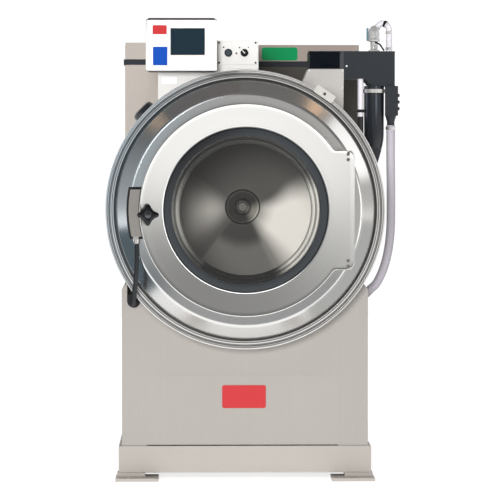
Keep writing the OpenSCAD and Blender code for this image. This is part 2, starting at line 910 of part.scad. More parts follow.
// Knob whose pointer stands at the upper left
module selector_knob() {
    color([0.09, 0.09, 0.09])
        front_view() translate([button_x + switch_pitch, switch_z, 0]) {
            translate([0, 0, support_front - 4]) cylinder(r = 4, h = plate_t + 8);
            translate([0, 0, plate_front + 0.5]) cylinder(r = selector_r, h = 6);
            translate([0, 0, plate_front + 6]) rotate(45) translate([-3.5, -selector_r + 1, 0])
                cube([7, 2 * selector_r - 2, 8]);
        }
}

module pilot_lamp() {
    color([0.6, 0.25, 0.2])
        front_view() translate([button_x + switch_pitch / 2, switch_z - 1.5, plate_front])
            rotate_extrude() polygon([[0, 0], [5, 0], [5, 2], [3.5, 4], [0, 5]]);
}

module rear_bulkhead() {
    color([0.77, 0.73, 0.69])
        difference() {
            translate([-cabinet_w / 2 + sheet_t + gap, rear_front, base_top])
                cube([cabinet_w - 2 * sheet_t - 2 * gap, bulkhead_t, rear_top - base_top]);
            translate([0, rear_front - eps, axis_z]) rotate([-90, 0, 0])
                cylinder(r = bearing_r + bearing_wall + 15, h = bulkhead_t + 2 * eps);
            translate([0, rear_front - eps, drain_z]) rotate([-90, 0, 0])
                cylinder(r = drain_r + 3, h = bulkhead_t + 2 * eps);
        }
}

// Back panel with two fields of slots
module rear_back_panel() {
    slot_l = 120;
    color([0.77, 0.73, 0.69])
        translate([0, rear_back, 0]) rotate([90, 0, 0]) linear_extrude(sheet_t) difference() {
            translate([-cabinet_w / 2 + sheet_t + gap, base_top])
                square([cabinet_w - 2 * sheet_t - 2 * gap, rear_top - base_top]);
            translate([0, drain_z]) circle(drain_r + 1);
            for (sx = [-1, 1], i = [0:7])
                translate([sx * 200 - slot_l / 2, 880 + 22 * i]) square([slot_l, 7]);
        }
}

// Plan of the rear cabinet with the wing at its front left, both drawn in by s,
// and the wing's left side by inset more
module rear_plan(s, inset) {
    w = cabinet_w / 2 - s;
    translate([-w, rear_front + s]) square([2 * w, rear_back - rear_front - 2 * s]);
    translate([-w + inset, rear_front + s - wing_d])
        square([wing_w - inset - 2 * s, wing_d + eps]);
}

module cabinet_band() {
    color([0.17, 0.18, 0.2])
        translate([0, 0, rear_top]) difference() {
            linear_extrude(band_h) rear_plan(0, 0);
            translate([0, 0, -eps]) linear_extrude(band_h - 2 + eps) rear_plan(3, 0);
        }
}

// Flat box on the rear cabinet and its wing, with the hole for the power lead,
// and the column that carries the wing on the shell
module electrical_boxes() {
    skin = 2;
    color([0.8, 0.77, 0.73]) {
        difference() {
            translate([0, 0, band_top]) linear_extrude(ebox_h) rear_plan(0, wing_set);
            translate([0, 0, band_top + skin]) linear_extrude(ebox_h - 2 * skin)
                rear_plan(skin, wing_set);
            translate([lead_x, rear_back - 10, band_top + ebox_h / 2]) rotate([-90, 0, 0])
                cylinder(r = lead_hole_r, h = 20);
            translate([-cabinet_w / 4, rear_front + 60, band_top - eps])
                cube([cabinet_w / 2, rear_back - rear_front - 120, skin + 2 * eps]);
        }
        difference() {
            translate([-cabinet_w / 2 + wing_set, rear_front - wing_d, axis_z])
                cube([wing_w - wing_set, wing_d - gap, rear_top - axis_z]);
            translate([-cabinet_w / 2 + wing_set + skin, rear_front - wing_d + skin,
                       axis_z - eps])
                cube([wing_w - wing_set - 2 * skin, wing_d - gap - 2 * skin,
                      rear_top - axis_z - skin + eps]);
            axis_core(shell_r + gap);
        }
    }
}

// Outline of the supply box, seen from the front
module supply_outline() {
    x1 = supply_left + flap_w + 14;
    polygon([
        [supply_left, supply_low], [x1, supply_low], [x1, supply_mid],
        [hose_x - hose_r + 2, supply_mid], [hose_x - hose_r / 3, supply_foot],
        [supply_right, supply_foot], [supply_right, supply_top],
        [supply_left, supply_top]
    ]);
}

module supply_box() {
    wall = 6;
    ear = 4;
    color([0.18, 0.19, 0.2])
        front_view() difference() {
            union() {
                translate([0, 0, supply_front - supply_d]) linear_extrude(supply_d)
                    supply_outline();
                for (x = [supply_left - ear, supply_left + flap_w])
                    translate([x, flap_z - 5, supply_front - 8]) cube([ear, 8, 15]);
            }
            translate([supply_left - 5, flap_z, flap_y]) rotate([0, 90, 0])
                cylinder(r = flap_pin_r + run, h = flap_w + 10);
            translate([supply_left + wall, supply_low + wall, supply_front - supply_d + 8])
                cube([flap_w - wall - 4, supply_top - supply_low - 2 * wall, supply_d]);
        }
}

// Flap over the supply compartments, hinged at its top edge
module supply_flap() {
    flap_h = supply_top - supply_low - 2;
    color([0.03, 0.04, 0.05])
        front_view() {
            translate([supply_left + 0.5, supply_top - 0.5 - flap_h, flap_y - flap_t / 2])
                cube([flap_w - 1, flap_h, flap_t]);
            translate([supply_left + flap_w / 2 - 15, supply_top - flap_h + 3,
                       flap_y + flap_t / 2 - eps])
                cube([30, 6, 5]);
            translate([supply_left - 3, flap_z, flap_y]) rotate([0, 90, 0])
                cylinder(r = flap_pin_r, h = flap_w + 6);
        }
}

// Sheet chute that stands on the shell and carries the supply box
module supply_chute() {
    x1 = supply_left + flap_w + 14;
    skin = 3;
    top = supply_low - gap;
    outline = [[x1 - 3, 1050], [x1, top], [supply_left - 4, top], [supply_left - 42, top - 90],
               [supply_left - 42, 1050]];
    color([0.83, 0.81, 0.79])
        difference() {
            front_view() translate([0, 0, supply_front - supply_d + 30])
                linear_extrude(supply_d - 28) polygon(outline);
            front_view() translate([0, -skin, supply_front - supply_d + 30 + skin])
                linear_extrude(supply_d - 28 - 2 * skin)
                    polygon([for (p = outline) [p[0] + (p[0] > 280 ? -skin : skin), p[1]]]);
            axis_core(shell_r + gap);
        }
}

// Large supply hose from the supply box down to the shell
module supply_hose() {
    color([0.07, 0.08, 0.1])
        front_view() translate([hose_x, 0, hose_y]) difference() {
            hose_core(hose_r, 0);
            hose_core(hose_r - 4, 2);
        }
}

// Straight and bent stretch of the large hose, longer at both ends by s;
// the bend is a little thinner than the straight stretch
module hose_core(r, s) {
    more = s / hose_bend_r * 60;
    translate([0, hose_bend_z, 0]) rotate([-90, 0, 0])
        cylinder(r = r, h = hose_top - gap - hose_bend_z + s);
    translate([-hose_bend_r, hose_bend_z, 0]) rotate(-hose_turn - more)
        rotate_extrude(angle = hose_turn + more) translate([hose_bend_r, 0]) circle(r - 0.4);
}

// Point and direction at the lower end of the large hose, in the front view
hose_end = [hose_x - hose_bend_r + hose_bend_r * cos(hose_turn),
            hose_bend_z - hose_bend_r * sin(hose_turn)];

// Spigots on the shell and on the side panel that the hoses end on
module hose_fittings() {
    color([0.3, 0.31, 0.32]) {
        difference() {
            front_view() translate([hose_end[0], hose_end[1], hose_y])
                rotate(180 - hose_turn) rotate([-90, 0, 0]) translate([0, 0, gap])
                    difference() {
                        cylinder(r = hose_r, h = hose_spigot_l);
                        translate([0, 0, -eps])
                            cylinder(r = hose_r - 4, h = hose_spigot_l + 2 * eps);
                    }
            axis_core(shell_r + gap);
        }
        difference() {
            translate([drip_x, -drip_y, drip_low - 36]) cylinder(r = drip_stub_r, h = 36);
            axis_core(shell_r + gap);
        }
        difference() {
            translate(flush_end) rotate([0, -135, 0]) cylinder(r = flush_r, h = 60);
            translate([0, -base_front, base_top])
                cube([cabinet_w / 2 + gap, base_front, rear_top - base_top]);
        }
    }
}

// Short clear hoses: the drip hose in front of the large hose, and the fill hose
module clear_hoses() {
    color([0.86, 0.85, 0.86, 0.8]) {
        translate([drip_x, -drip_y, drip_low + gap])
            cylinder(r = drip_r, h = supply_mid - drip_low - 2 * gap);
        translate([fill_x + 2 * fill_bend_r, -fill_y, supply_top + gap])
            cylinder(r = fill_hose_r, h = fill_bend_z - supply_top - 2 * gap);
    }
}

module band_clamp(r, w) {
    difference() {
        cylinder(r = r + 2.5, h = w);
        translate([0, 0, -eps]) cylinder(r = r + gap, h = w + 2 * eps);
    }
}

module hose_clamps() {
    color([0.72, 0.72, 0.7]) {
        translate([hose_x, -hose_y, hose_top - clamp_down]) band_clamp(hose_r, 12);
        translate([drip_x, -drip_y, drip_clamp_z]) band_clamp(drip_r, 9);
        translate([flush_x, flush_y, flush_top - 14]) band_clamp(flush_r, 10);
        translate([fill_x + 2 * fill_bend_r, -fill_y, supply_top + 8])
            band_clamp(fill_hose_r, 8);
        translate([fill_x + 2 * fill_bend_r, -fill_y, fill_bend_z - 10])
            band_clamp(fill_hose_r, 8);
    }
}

// Dosing manifold with a row of nipples on its right side
module dosing_manifold() {
    color([0.16, 0.17, 0.18]) {
        translate([manifold_x0, flush_y - 22, manifold_low])
            cube([manifold_x1 - manifold_x0, 44, supply_foot - gap - manifold_low]);
        for (i = [0:2])
            translate([manifold_x1 - eps, flush_y, manifold_low + 22 + 21 * i])
                rotate([0, 90, 0]) cylinder(r = 5, h = 7);
        translate([flush_x, flush_y, 0]) rotate_extrude() polygon([
            [0, flush_top], [12, flush_top], [12, flush_top + 12], [18, manifold_low + eps],
            [0, manifold_low + eps]
        ]);
    }
}

module flush_hose() {
    color([0.8, 0.79, 0.84, 0.8]) swept_tube(flush_route, flush_r, flush_sides);
}

// Fill pipe: a riser with a union and a bend that leads into the clear hose
module fill_pipe() {
    foot_z = supply_top + 0.1;
    color([0.82, 0.82, 0.8]) {
        translate([fill_x, -fill_y, foot_z]) rotate_extrude() polygon([
            [0, 0], [18, 0], [18, 8], [14, 8], [14, 30], [19, 30], [19, 42], [14, 42],
            [14, fill_bend_z - foot_z], [0, fill_bend_z - foot_z]
        ]);
        front_view() translate([fill_x + fill_bend_r, fill_bend_z, fill_y])
            rotate_extrude(angle = 180) translate([fill_bend_r, 0]) circle(fill_tube_r);
    }
}

// Turns a profile of radius against distance behind the origin
module behind() {
    translate([0, 0, axis_z]) rotate([-90, 0, 0]) rotate_extrude() children();
}

module bearing_housing() {
    y0 = rear_front + bulkhead_t;
    r1 = bearing_r + bearing_wall;
    r2 = bearing_r + bearing_flange;
    color([0.35, 0.37, 0.4])
        behind() polygon([
            [shaft_r + 8, shell_back + gap], [r1 + 4, shell_back + gap], [r1 + 4, y0 + gap],
            [r2, y0 + gap], [r2, y0 + 14], [r1, y0 + 14], [r1, y0 + bearing_l],
            [bearing_r, y0 + bearing_l], [bearing_r, y0 + 2], [shaft_r + 8, y0 + 2]
        ]);
}

// Two bearings and the shaft seal between them and the shell
module bearings() {
    y0 = rear_front + bulkhead_t;
    seal_w = 8;
    color([0.75, 0.75, 0.76])
        for (y = [[4, seal_w], [18, bearing_w], [bearing_l - bearing_w - 10, bearing_w]])
            behind() translate([shaft_r + run, y0 + y[0]])
                square([bearing_r - shaft_r - 2 * run, y[1]]);
}

// Outline of a belt loop at distance s above the groove bottoms
module belt_outline(s) {
    big = pulley_r - groove_d + s;
    small = motor_pulley_r - groove_d + s;
    c = [motor_x, motor_z - axis_z];
    a = atan2(c[1], c[0]);
    b = acos((big - small) / norm(c));
    circle(big, $fn = 128);
    translate(c) circle(small);
    polygon([
        big * [cos(a + b), sin(a + b)], c + small * [cos(a + b), sin(a + b)],
        c + small * [cos(a - b), sin(a - b)], big * [cos(a - b), sin(a - b)]
    ]);
}

module drive_belts() {
    color([0.1, 0.1, 0.1])
        on_axis() for (i = [0:belt_n - 1])
            translate([0, 0, -belt_y + (i - (belt_n - 1) / 2) * belt_pitch - belt_w / 2])
                linear_extrude(belt_w) difference() {
                    belt_outline(belt_gap + belt_t);
                    belt_outline(belt_gap);
                }
}

// Grooved pulley rim of outer radius r, as a profile of radius against place along the axis
module pulley_profile(r, bore) {
    difference() {
        translate([bore, -pulley_w / 2]) square([r - bore, pulley_w]);
        for (i = [0:belt_n - 1])
            translate([r - groove_d, (i - (belt_n - 1) / 2) * belt_pitch - groove_w / 2])
                square([groove_d + eps, groove_w]);
    }
}

module drum_pulley() {
    color([0.3, 0.31, 0.33])
        difference() {
            behind() translate([0, belt_y]) difference() {
                pulley_profile(pulley_r, shaft_r + run);
                for (s = [-1, 1])
                    translate([(pulley_r + shaft_r) / 2, s * (pulley_w / 2 + 4)])
                        square([pulley_r - shaft_r - 72, pulley_w - 10], center = true);
            }
            for (a = [0:60:300])
                translate([0, belt_y - 50, axis_z]) rotate([0, a, 0])
                    translate([(pulley_r + shaft_r) / 2, 0, 0]) rotate([-90, 0, 0])
                        cylinder(r = 26, h = 100);
        }
}

module motor_pulley() {
    color([0.3, 0.31, 0.33])
        translate([motor_x, 0, motor_z]) rotate([-90, 0, 0]) {
            translate([0, 0, belt_y]) rotate_extrude() pulley_profile(motor_pulley_r, 0);
            translate([0, 0, rear_front + bulkhead_t + motor_l - 40])
                cylinder(r = 14, h = belt_y - rear_front - bulkhead_t - motor_l + 40);
        }
}

module motor() {
    y0 = rear_front + bulkhead_t;
    color([0.3, 0.36, 0.42])
        translate([motor_x, y0 + 0.1, motor_z]) rotate([-90, 0, 0]) difference() {
            union() {
                linear_extrude(12) round_rect(2 * motor_r + 20, 2 * motor_r + 20, 16);
                cylinder(r = motor_r - 8, h = motor_l);
                for (i = [0:8]) translate([0, 0, 34 + 18 * i]) cylinder(r = motor_r, h = 8);
                translate([-40, -motor_r - 6, 60]) cube([80, 30, 90]);
            }
            translate([0, 0, motor_l - 60]) cylinder(r = 14 + run, h = 80);
        }
}

// Sump under the shell, and the pipe from the valve to the back
module drain_pipes() {
    pipe_y0 = -(valve_y - valve_l / 2) + 0.1;
    wall = 3;
    color([0.55, 0.55, 0.54]) {
        difference() {
            translate([-sump_w / 2, -sump_y0 - sump_d, drain_z - 65])
                cube([sump_w, sump_d, axis_z - shell_r - drain_z + 160]);
            translate([-sump_w / 2 + wall, -sump_y0 - sump_d + wall, drain_z - 65 + wall])
                cube([sump_w - 2 * wall, sump_d - 2 * wall, 400]);
            translate([0, -sump_y0 - 10, drain_z]) rotate([-90, 0, 0])
                cylinder(r = ball_bore, h = 20);
            axis_core(shell_r + gap);
        }
        translate([0, pipe_y0, drain_z]) rotate([-90, 0, 0]) difference() {
            union() {
                cylinder(r = drain_r, h = rear_back + drain_out - spigot_l - pipe_y0);
                cylinder(r = spigot_r, h = rear_back + drain_out - pipe_y0);
            }
            translate([0, 0, -eps]) cylinder(r = drain_r - wall, h = 2000);
        }
    }
}

// Valve body along the pipe, with its actuator at the right
module drain_valve() {
    color([0.45, 0.4, 0.36])
        translate([0, -valve_y, drain_z]) difference() {
            union() {
                rotate([90, 0, 0]) cylinder(r = valve_r, h = valve_l, center = true);
                translate([valve_r - 20, -30, -40]) cube([100, 60, 80]);
            }
            rotate([90, 0, 0]) cylinder(r = ball_bore, h = valve_l + 2 * eps, center = true);
            sphere(ball_r + gap);
            rotate([0, 90, 0]) cylinder(r = 8 + run, h = valve_r + 20);
        }
}

// Ball with its stem; the bore lies along the pipe when the valve is open
module drain_ball() {
    color([0.8, 0.8, 0.78])
        translate([0, -valve_y, drain_z]) difference() {
            union() {
                sphere(ball_r);
                translate([ball_r - 5, 0, 0]) rotate([0, 90, 0]) cylinder(r = 8, h = 40);
            }
            rotate([90, 0, 0]) cylinder(r = ball_bore, h = 2 * ball_r + 10, center = true);
        }
}

// Hot and cold water inlet valves on the back panel
module inlet_valves() {
    color([0.2, 0.25, 0.4])
        for (x = inlet_x)
            translate([x, rear_back + 0.1, inlet_z]) {
                translate([-inlet_block / 2, 0, -inlet_block / 2])
                    cube([inlet_block, 40, inlet_block]);
                translate([0, 20, inlet_block / 2 - eps]) cylinder(r = 17, h = 34);
                translate([0, 40 - eps, 0]) rotate([-90, 0, 0])
                    cylinder(r = inlet_r, h = inlet_l + eps);
            }
}

// Drum with its front ring and rolled mouth
module drum_wall() {
    r1 = drum_r - drum_t;
    lip = 5;
    color([0.72, 0.72, 0.7])
        on_axis() rotate_extrude($fn = 128) {
            translate([mouth_r + lip, drum_front - 2]) circle(lip, $fn = 24);
            polygon([
                [mouth_r + lip, drum_front - drum_t], [r1, drum_front - drum_t], [r1, drum_rear],
                [drum_r, drum_rear], [drum_r, drum_front], [mouth_r + lip, drum_front]
            ]);
        }
}

// Dished back of the drum
module drum_back() {
    r1 = drum_r - drum_t - 0.1;
    y0 = -drum_rear;
    color([0.66, 0.65, 0.62])
        behind() polygon([
            [shaft_r + 0.1, y0 - back_dish - back_t], [hub_r + 6, y0 - back_dish - back_t],
            [r1 - 10, y0 - back_t], [r1, y0 - 14], [r1, y0], [r1 - 10, y0],
            [hub_r + 6, y0 - back_dish], [shaft_r + 0.1, y0 - back_dish]
        ]);
}

// Hub plate, boss and bolt in the middle of the drum's back
module drum_hub() {
    y0 = -drum_rear - back_dish - back_t - 0.1;
    color([0.8, 0.8, 0.78]) {
        behind() polygon([
            [0, y0 - 26], [22, y0 - 26], [26, y0 - 22], [28, y0 - 12], [hub_r - 6, y0 - 8],
            [hub_r, y0 - 3], [hub_r, y0], [0, y0]
        ]);
        on_axis() translate([0, 0, -y0 + 26 - eps]) cylinder(r = 14.5, h = 11, $fn = 6);
    }
}

// Lifting ribs along the drum wall
module lifting_ribs() {
    rib_l = drum_d - 70;
    color([0.72, 0.72, 0.7])
        on_axis() translate([0, 0, drum_rear + 30]) linear_extrude(rib_l)
            for (i = [0:rib_n - 1]) rotate(90 + 360 * i / rib_n) intersection() {
                circle(drum_r - drum_t - gap, $fn = 128);
                polygon([
                    [drum_r - drum_t - rib_h, -22], [drum_r + 10, -70], [drum_r + 10, 70],
                    [drum_r - drum_t - rib_h, 22]
                ]);
            }
}

// Drum shaft with the three-armed carrier on the drum's back
module drive_shaft() {
    y0 = -drum_rear;
    color([0.6, 0.6, 0.6]) {
        translate([0, y0 - back_dish - back_t, axis_z]) rotate([-90, 0, 0])
            cylinder(r = shaft_r, h = belt_y + pulley_w / 2 + 12 - y0 + back_dish + back_t);
        translate([0, y0 + 0.1, axis_z]) rotate([-90, 0, 0]) {
            cylinder(r = 90, h = 16);
            for (i = [0:rib_n - 1]) rotate(-90 + 360 * i / rib_n)
                translate([0, -30, 0]) cube([drum_r - drum_t - 12, 60, 12]);
        }
    }
}

cross_channels();
side_rails();
floor_pads();
front_panel();
side_panels();
shell_cradles();
shell();
front_head();
clamp_ring();
clamp_plate();
vent_boot();
hinge_brackets();
latch_housing();
conduit_fittings();
door_conduit();
control_support();
control_box();
control_face();
touch_screen();
panel_screws();
switch_plate();
pilot_lamp();
rear_bulkhead();
rear_back_panel();
cabinet_band();
electrical_boxes();
supply_box();
supply_chute();
supply_hose();
hose_clamps();
clear_hoses();
dosing_manifold();
flush_hose();
hose_fittings();
fill_pipe();
bearing_housing();
bearings();
drive_belts();
motor();
drain_pipes();
drain_valve();
inlet_valves();
door_ring();
door_seals();
door_glass();
hinge_lugs();
hinge_bolts();
star_knob();
latch_pawl();
drum_wall();
drum_back();
drum_hub();
lifting_ribs();
drive_shaft();
drum_pulley();
motor_pulley();
stop_button();
selector_knob();
supply_flap();
drain_ball();
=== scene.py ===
"""Dresses the frame of an open-pocket washer-extractor.

The machine stands on Z = 0, with its door towards -Y and X to the right. Shapes are worked
out in millimetres and turned into metres as their mesh is made; materials work in metres.
"""

import json
import math

import bmesh
import bpy
import numpy as np
from bpy.props import FloatProperty, FloatVectorProperty, IntProperty, PointerProperty
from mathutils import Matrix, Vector


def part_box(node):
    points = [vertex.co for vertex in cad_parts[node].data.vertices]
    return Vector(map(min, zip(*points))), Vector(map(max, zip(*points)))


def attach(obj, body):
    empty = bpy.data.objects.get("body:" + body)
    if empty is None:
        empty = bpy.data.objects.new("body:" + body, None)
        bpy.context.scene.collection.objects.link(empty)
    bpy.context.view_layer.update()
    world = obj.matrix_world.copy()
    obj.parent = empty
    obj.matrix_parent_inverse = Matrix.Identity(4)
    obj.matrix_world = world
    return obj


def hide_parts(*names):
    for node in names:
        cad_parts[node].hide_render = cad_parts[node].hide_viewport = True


bl_info = {
    "name": "Washer-extractor",
    "version": (1, 0, 0),
    "blender": (4, 5, 0),
    "location": "3D View > Sidebar > Washer",
    "description": "Builds the finished surfaces of a washer-extractor round its frame",
    "category": "Object",
}

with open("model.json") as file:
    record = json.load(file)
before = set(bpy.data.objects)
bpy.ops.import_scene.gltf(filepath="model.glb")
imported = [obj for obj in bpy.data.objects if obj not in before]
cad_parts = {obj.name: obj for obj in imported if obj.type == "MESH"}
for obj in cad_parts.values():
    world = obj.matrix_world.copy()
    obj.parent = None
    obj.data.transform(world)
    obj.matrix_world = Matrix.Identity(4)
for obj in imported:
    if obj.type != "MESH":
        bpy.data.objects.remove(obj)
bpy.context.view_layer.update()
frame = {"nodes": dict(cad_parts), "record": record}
NODES = frame["nodes"]
RECORD = frame["record"]
BODY_OF = {n: b for b, nodes in RECORD["behaviour"]["bodies"].items() for n in nodes}
SLOT_OF = {s["node"]: s["material_slot"] for s in RECORD["subparts"]}

MM = 0.001
SEGMENTS = 256
FILLET_STEPS = 4

# In millimetres. A name in _R is a radius round the drum axis, and one in _H a distance ahead.
AXIS = 848.0
FACE_H = 626.0
REAR_FACE_H = -50.0
SUPPLY_FACE_H = 350.0
DOOR_R = 328.0
DOOR_HOLE_R = 255.0
DOOR_BACK_H = 641.0
KNOB_H = 663.1
KNOB_PLACE = (-301.0, 834.0)
# How far the door plate's edge stands ahead of the flat face, and how steeply it is dished.
DOOR_LIFT = 38.0
DOOR_DISH = 0.125
# Gaps that keep a plate just off what it is fixed to.
ON_FACE = 0.05
ON_SHEET = 0.1

CONDUIT_ROUTE = [
    [-336, -640, 745], [-336, -640, 718], [-336, -637, 690], [-337, -629, 664],
    [-339, -617, 640], [-341, -602, 617], [-344, -587, 597], [-346, -571, 578],
    [-348, -548, 563], [-348.5, -525, 555], [-348.5, -505, 552], [-348.5, -488, 552],
]
FLUSH_ROUTE = [
    [466, -335, 1112], [466, -335, 1070], [466, -335, 1000], [467, -335, 920],
    [467, -336, 850], [466, -338, 790], [461, -341, 735], [452, -344, 688],
    [438, -346, 645], [420, -347, 610], [404, -347, 594],
]


# Mesh helpers


def add_piece(name, mesh, paint, nodes=(), body="root", slot=None, sharp=35.0):
    """Links a mesh as a piece, gives it its finish, shading and body, and hides the nodes it
    replaces.
    """
    mesh.materials.clear()
    mesh.materials.append(finish(paint))
    mesh.polygons.foreach_set("use_smooth", np.ones(len(mesh.polygons), bool))
    mesh.set_sharp_from_angle(angle=math.radians(sharp))
    piece = bpy.data.objects.new(name, mesh)
    bpy.context.scene.collection.objects.link(piece)
    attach(piece, body)
    if nodes:
        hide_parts(*nodes)
        slot = slot or SLOT_OF[nodes[0]]
    return piece


def front_of(node):
    """Distance ahead, in millimetres, of a node's foremost point."""
    return -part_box(node)[0].y / MM


def stand_in(node, mesh, paint=None, sharp=35.0):
    """A piece in a node's place, with its body, in its slot's finish or another."""
    paint = paint or SLOT_OF[node]
    return add_piece(node + "_finished", mesh, paint, (node,), BODY_OF[node], sharp=sharp)


def grid_mesh(name, points, close_rows=False, close_cols=True):
    """Mesh of a grid of places in millimetres, with poles merged and faces turned outwards.

    Neighbouring rows and columns are joined by quads; close_rows joins the last row to the
    first and close_cols the last column to the first.
    """
    rows, cols = points.shape[:2]
    index = np.arange(rows * cols).reshape(rows, cols)
    a = index if close_rows else index[:-1]
    b = np.roll(index, -1, axis=0) if close_rows else index[1:]
    if close_cols:
        quads = np.stack([a, np.roll(a, -1, 1), np.roll(b, -1, 1), b], -1)
    else:
        quads = np.stack([a[:, :-1], a[:, 1:], b[:, 1:], b[:, :-1]], -1)
    mesh = bpy.data.meshes.new(name)
    mesh.from_pydata(points.reshape(-1, 3) * MM, [], quads.reshape(-1, 4).tolist())
    return cleaned(mesh)


def cleaned(mesh):
    """Merges doubles, drops what has no area and turns the faces outwards."""
    merge = 1e-6
    bm = bmesh.new()
    bm.from_mesh(mesh)
    bmesh.ops.remove_doubles(bm, verts=bm.verts, dist=merge)
    bmesh.ops.dissolve_degenerate(bm, edges=bm.edges, dist=merge)
    bmesh.ops.recalc_face_normals(bm, faces=bm.faces)
    bm.to_mesh(mesh)
    bm.free()
    return mesh


def joined_mesh(name, meshes):
    """One mesh out of several."""
    bm = bmesh.new()
    for mesh in meshes:
        bm.from_mesh(mesh)
    whole = bpy.data.meshes.new(name)
    bm.to_mesh(whole)
    bm.free()
    return whole


def unit(vectors):
    """Rows of vectors at length 1."""
    return vectors / np.linalg.norm(vectors, axis=1, keepdims=True)


def bowed(a, b, c, steps):
    """Points of the quadratic curve from a to c that is pulled towards b, or of rows of them."""
    t = np.linspace(0, 1, steps + 1)[:, None]
    a, b, c = (np.asarray(v, float)[..., None, :] for v in (a, b, c))
    return (1 - t) ** 2 * a + 2 * t * (1 - t) * b + t**2 * c


def filleted(outline, radius):
    """A closed outline whose corners are quadratic curves that start radius before them.

    A curve takes at most 45% of the side on either hand.
    """
    corners = np.array(outline, float)
    radius = np.broadcast_to(np.array(radius, float), (len(corners),))[:, None]

    def towards(neighbours):
        side = neighbours - corners
        length = np.linalg.norm(side, axis=1, keepdims=True)
        return corners + side / length * np.minimum(radius, 0.45 * length)

    start, end = towards(np.roll(corners, 1, 0)), towards(np.roll(corners, -1, 0))
    return bowed(start, corners, end, FILLET_STEPS).reshape(-1, 2)


def thickened(path, t):
    """Closed profile of a sheet of thickness t on the left of a path."""
    path = np.asarray(path, float)
    run = unit(np.gradient(path, axis=0))
    side = np.stack([-run[:, 1], run[:, 0]], 1)
    return np.concatenate([path, (path + t * side)[::-1]])


def round_angles(count=SEGMENTS):
    """Evenly spaced angles of a whole turn, without its end."""
    return np.linspace(0, 2 * math.pi, count, endpoint=False)


def on_axis(radius, angle, ahead, centre=(0.0, AXIS)):
    """Places at a radius and angle round a level axis through (x, z), and a distance ahead."""
    radius, angle, ahead = np.broadcast_arrays(radius, angle, ahead)
    x, z = centre
    return np.stack([x + radius * np.cos(angle), -ahead, z + radius * np.sin(angle)], -1)


def ring_points(rows, angle, **more):
    """Places of rows of (radius, distance ahead), each one number or one for every angle."""
    return np.array([on_axis(radius, angle, ahead, **more) for radius, ahead in rows])


def turned_mesh(name, profile):
    """Mesh of a closed profile of (radius, distance ahead) carried round the drum axis."""
    return grid_mesh(name, ring_points(profile, round_angles()), close_rows=True)


def turned_stand_in(node, profile, paint=None, sharp=35.0):
    """A closed profile of (radius, distance ahead) round the drum axis, in a node's place."""
    return stand_in(node, turned_mesh(node, profile), paint, sharp)


def smooth_route(route, count):
    """Points of a Catmull-Rom curve through a route, evenly spaced along it."""
    steps = 16
    p = np.array(route, float)
    padded = np.vstack([2 * p[0] - p[1], p, 2 * p[-1] - p[-2]])
    p0, p1, p2, p3 = (padded[i : len(padded) - 3 + i][:, None] for i in range(4))
    t = np.linspace(0, 1, steps, endpoint=False)[None, :, None]
    curve = 0.5 * (
        2 * p1
        + (p2 - p0) * t
        + (2 * p0 - 5 * p1 + 4 * p2 - p3) * t**2
        + (3 * p1 - p0 - 3 * p2 + p3) * t**3
    )
    curve = np.vstack([curve.reshape(-1, 3), p[-1:]])
    along = np.r_[0, np.cumsum(np.linalg.norm(np.diff(curve, axis=0), axis=1))]
    even = np.linspace(0, along[-1], count)
    return np.stack([np.interp(even, along, curve[:, k]) for k in range(3)], 1), along[-1]


def swept_mesh(name, line, radius, sides=32):
    """A round tube along a line of points, closed by flat ends.

    Each ring lies across the line's run, and radius has one value, or one for each point.
    """
    aside = (0.2, 1.0, 0.1)
    run = unit(np.gradient(line, axis=0))
    side = unit(np.cross(run, aside))
    up = np.cross(run, side)
    angle = round_angles(sides)[None, :, None]
    ring = np.cos(angle) * side[:, None] + np.sin(angle) * up[:, None]
    radius = np.broadcast_to(np.asarray(radius, float), (len(line),))
    points = line[:, None] + radius[:, None, None] * ring
    first, last = (np.broadcast_to(line[end], (1, sides, 3)) for end in (0, -1))
    return grid_mesh(name, np.concatenate([first, points, last]))


def upright_mesh(name, profile, foot, sides=64):
    """A profile of (radius, height), from pole to pole, turned about an upright line."""
    radius, height = np.asarray(profile, float)[:, :, None].swapaxes(0, 1)
    angle = round_angles(sides)
    x, y, z = foot
    places = (x + radius * np.cos(angle), y + radius * np.sin(angle), z + height)
    return grid_mesh(name, np.stack(np.broadcast_arrays(*places), -1))


def hanging_cord(node, route, radius, count, sides, sharp):
    """A cord between two fixed ends that takes a node's place.

    The tube follows the smoothed route, and radius gives its own for a distance along it.
    """
    line, length = smooth_route(route, count)
    mesh = swept_mesh(node, line, radius(np.linspace(0, length, count)), sides)
    cord = stand_in(node, mesh, sharp=sharp)


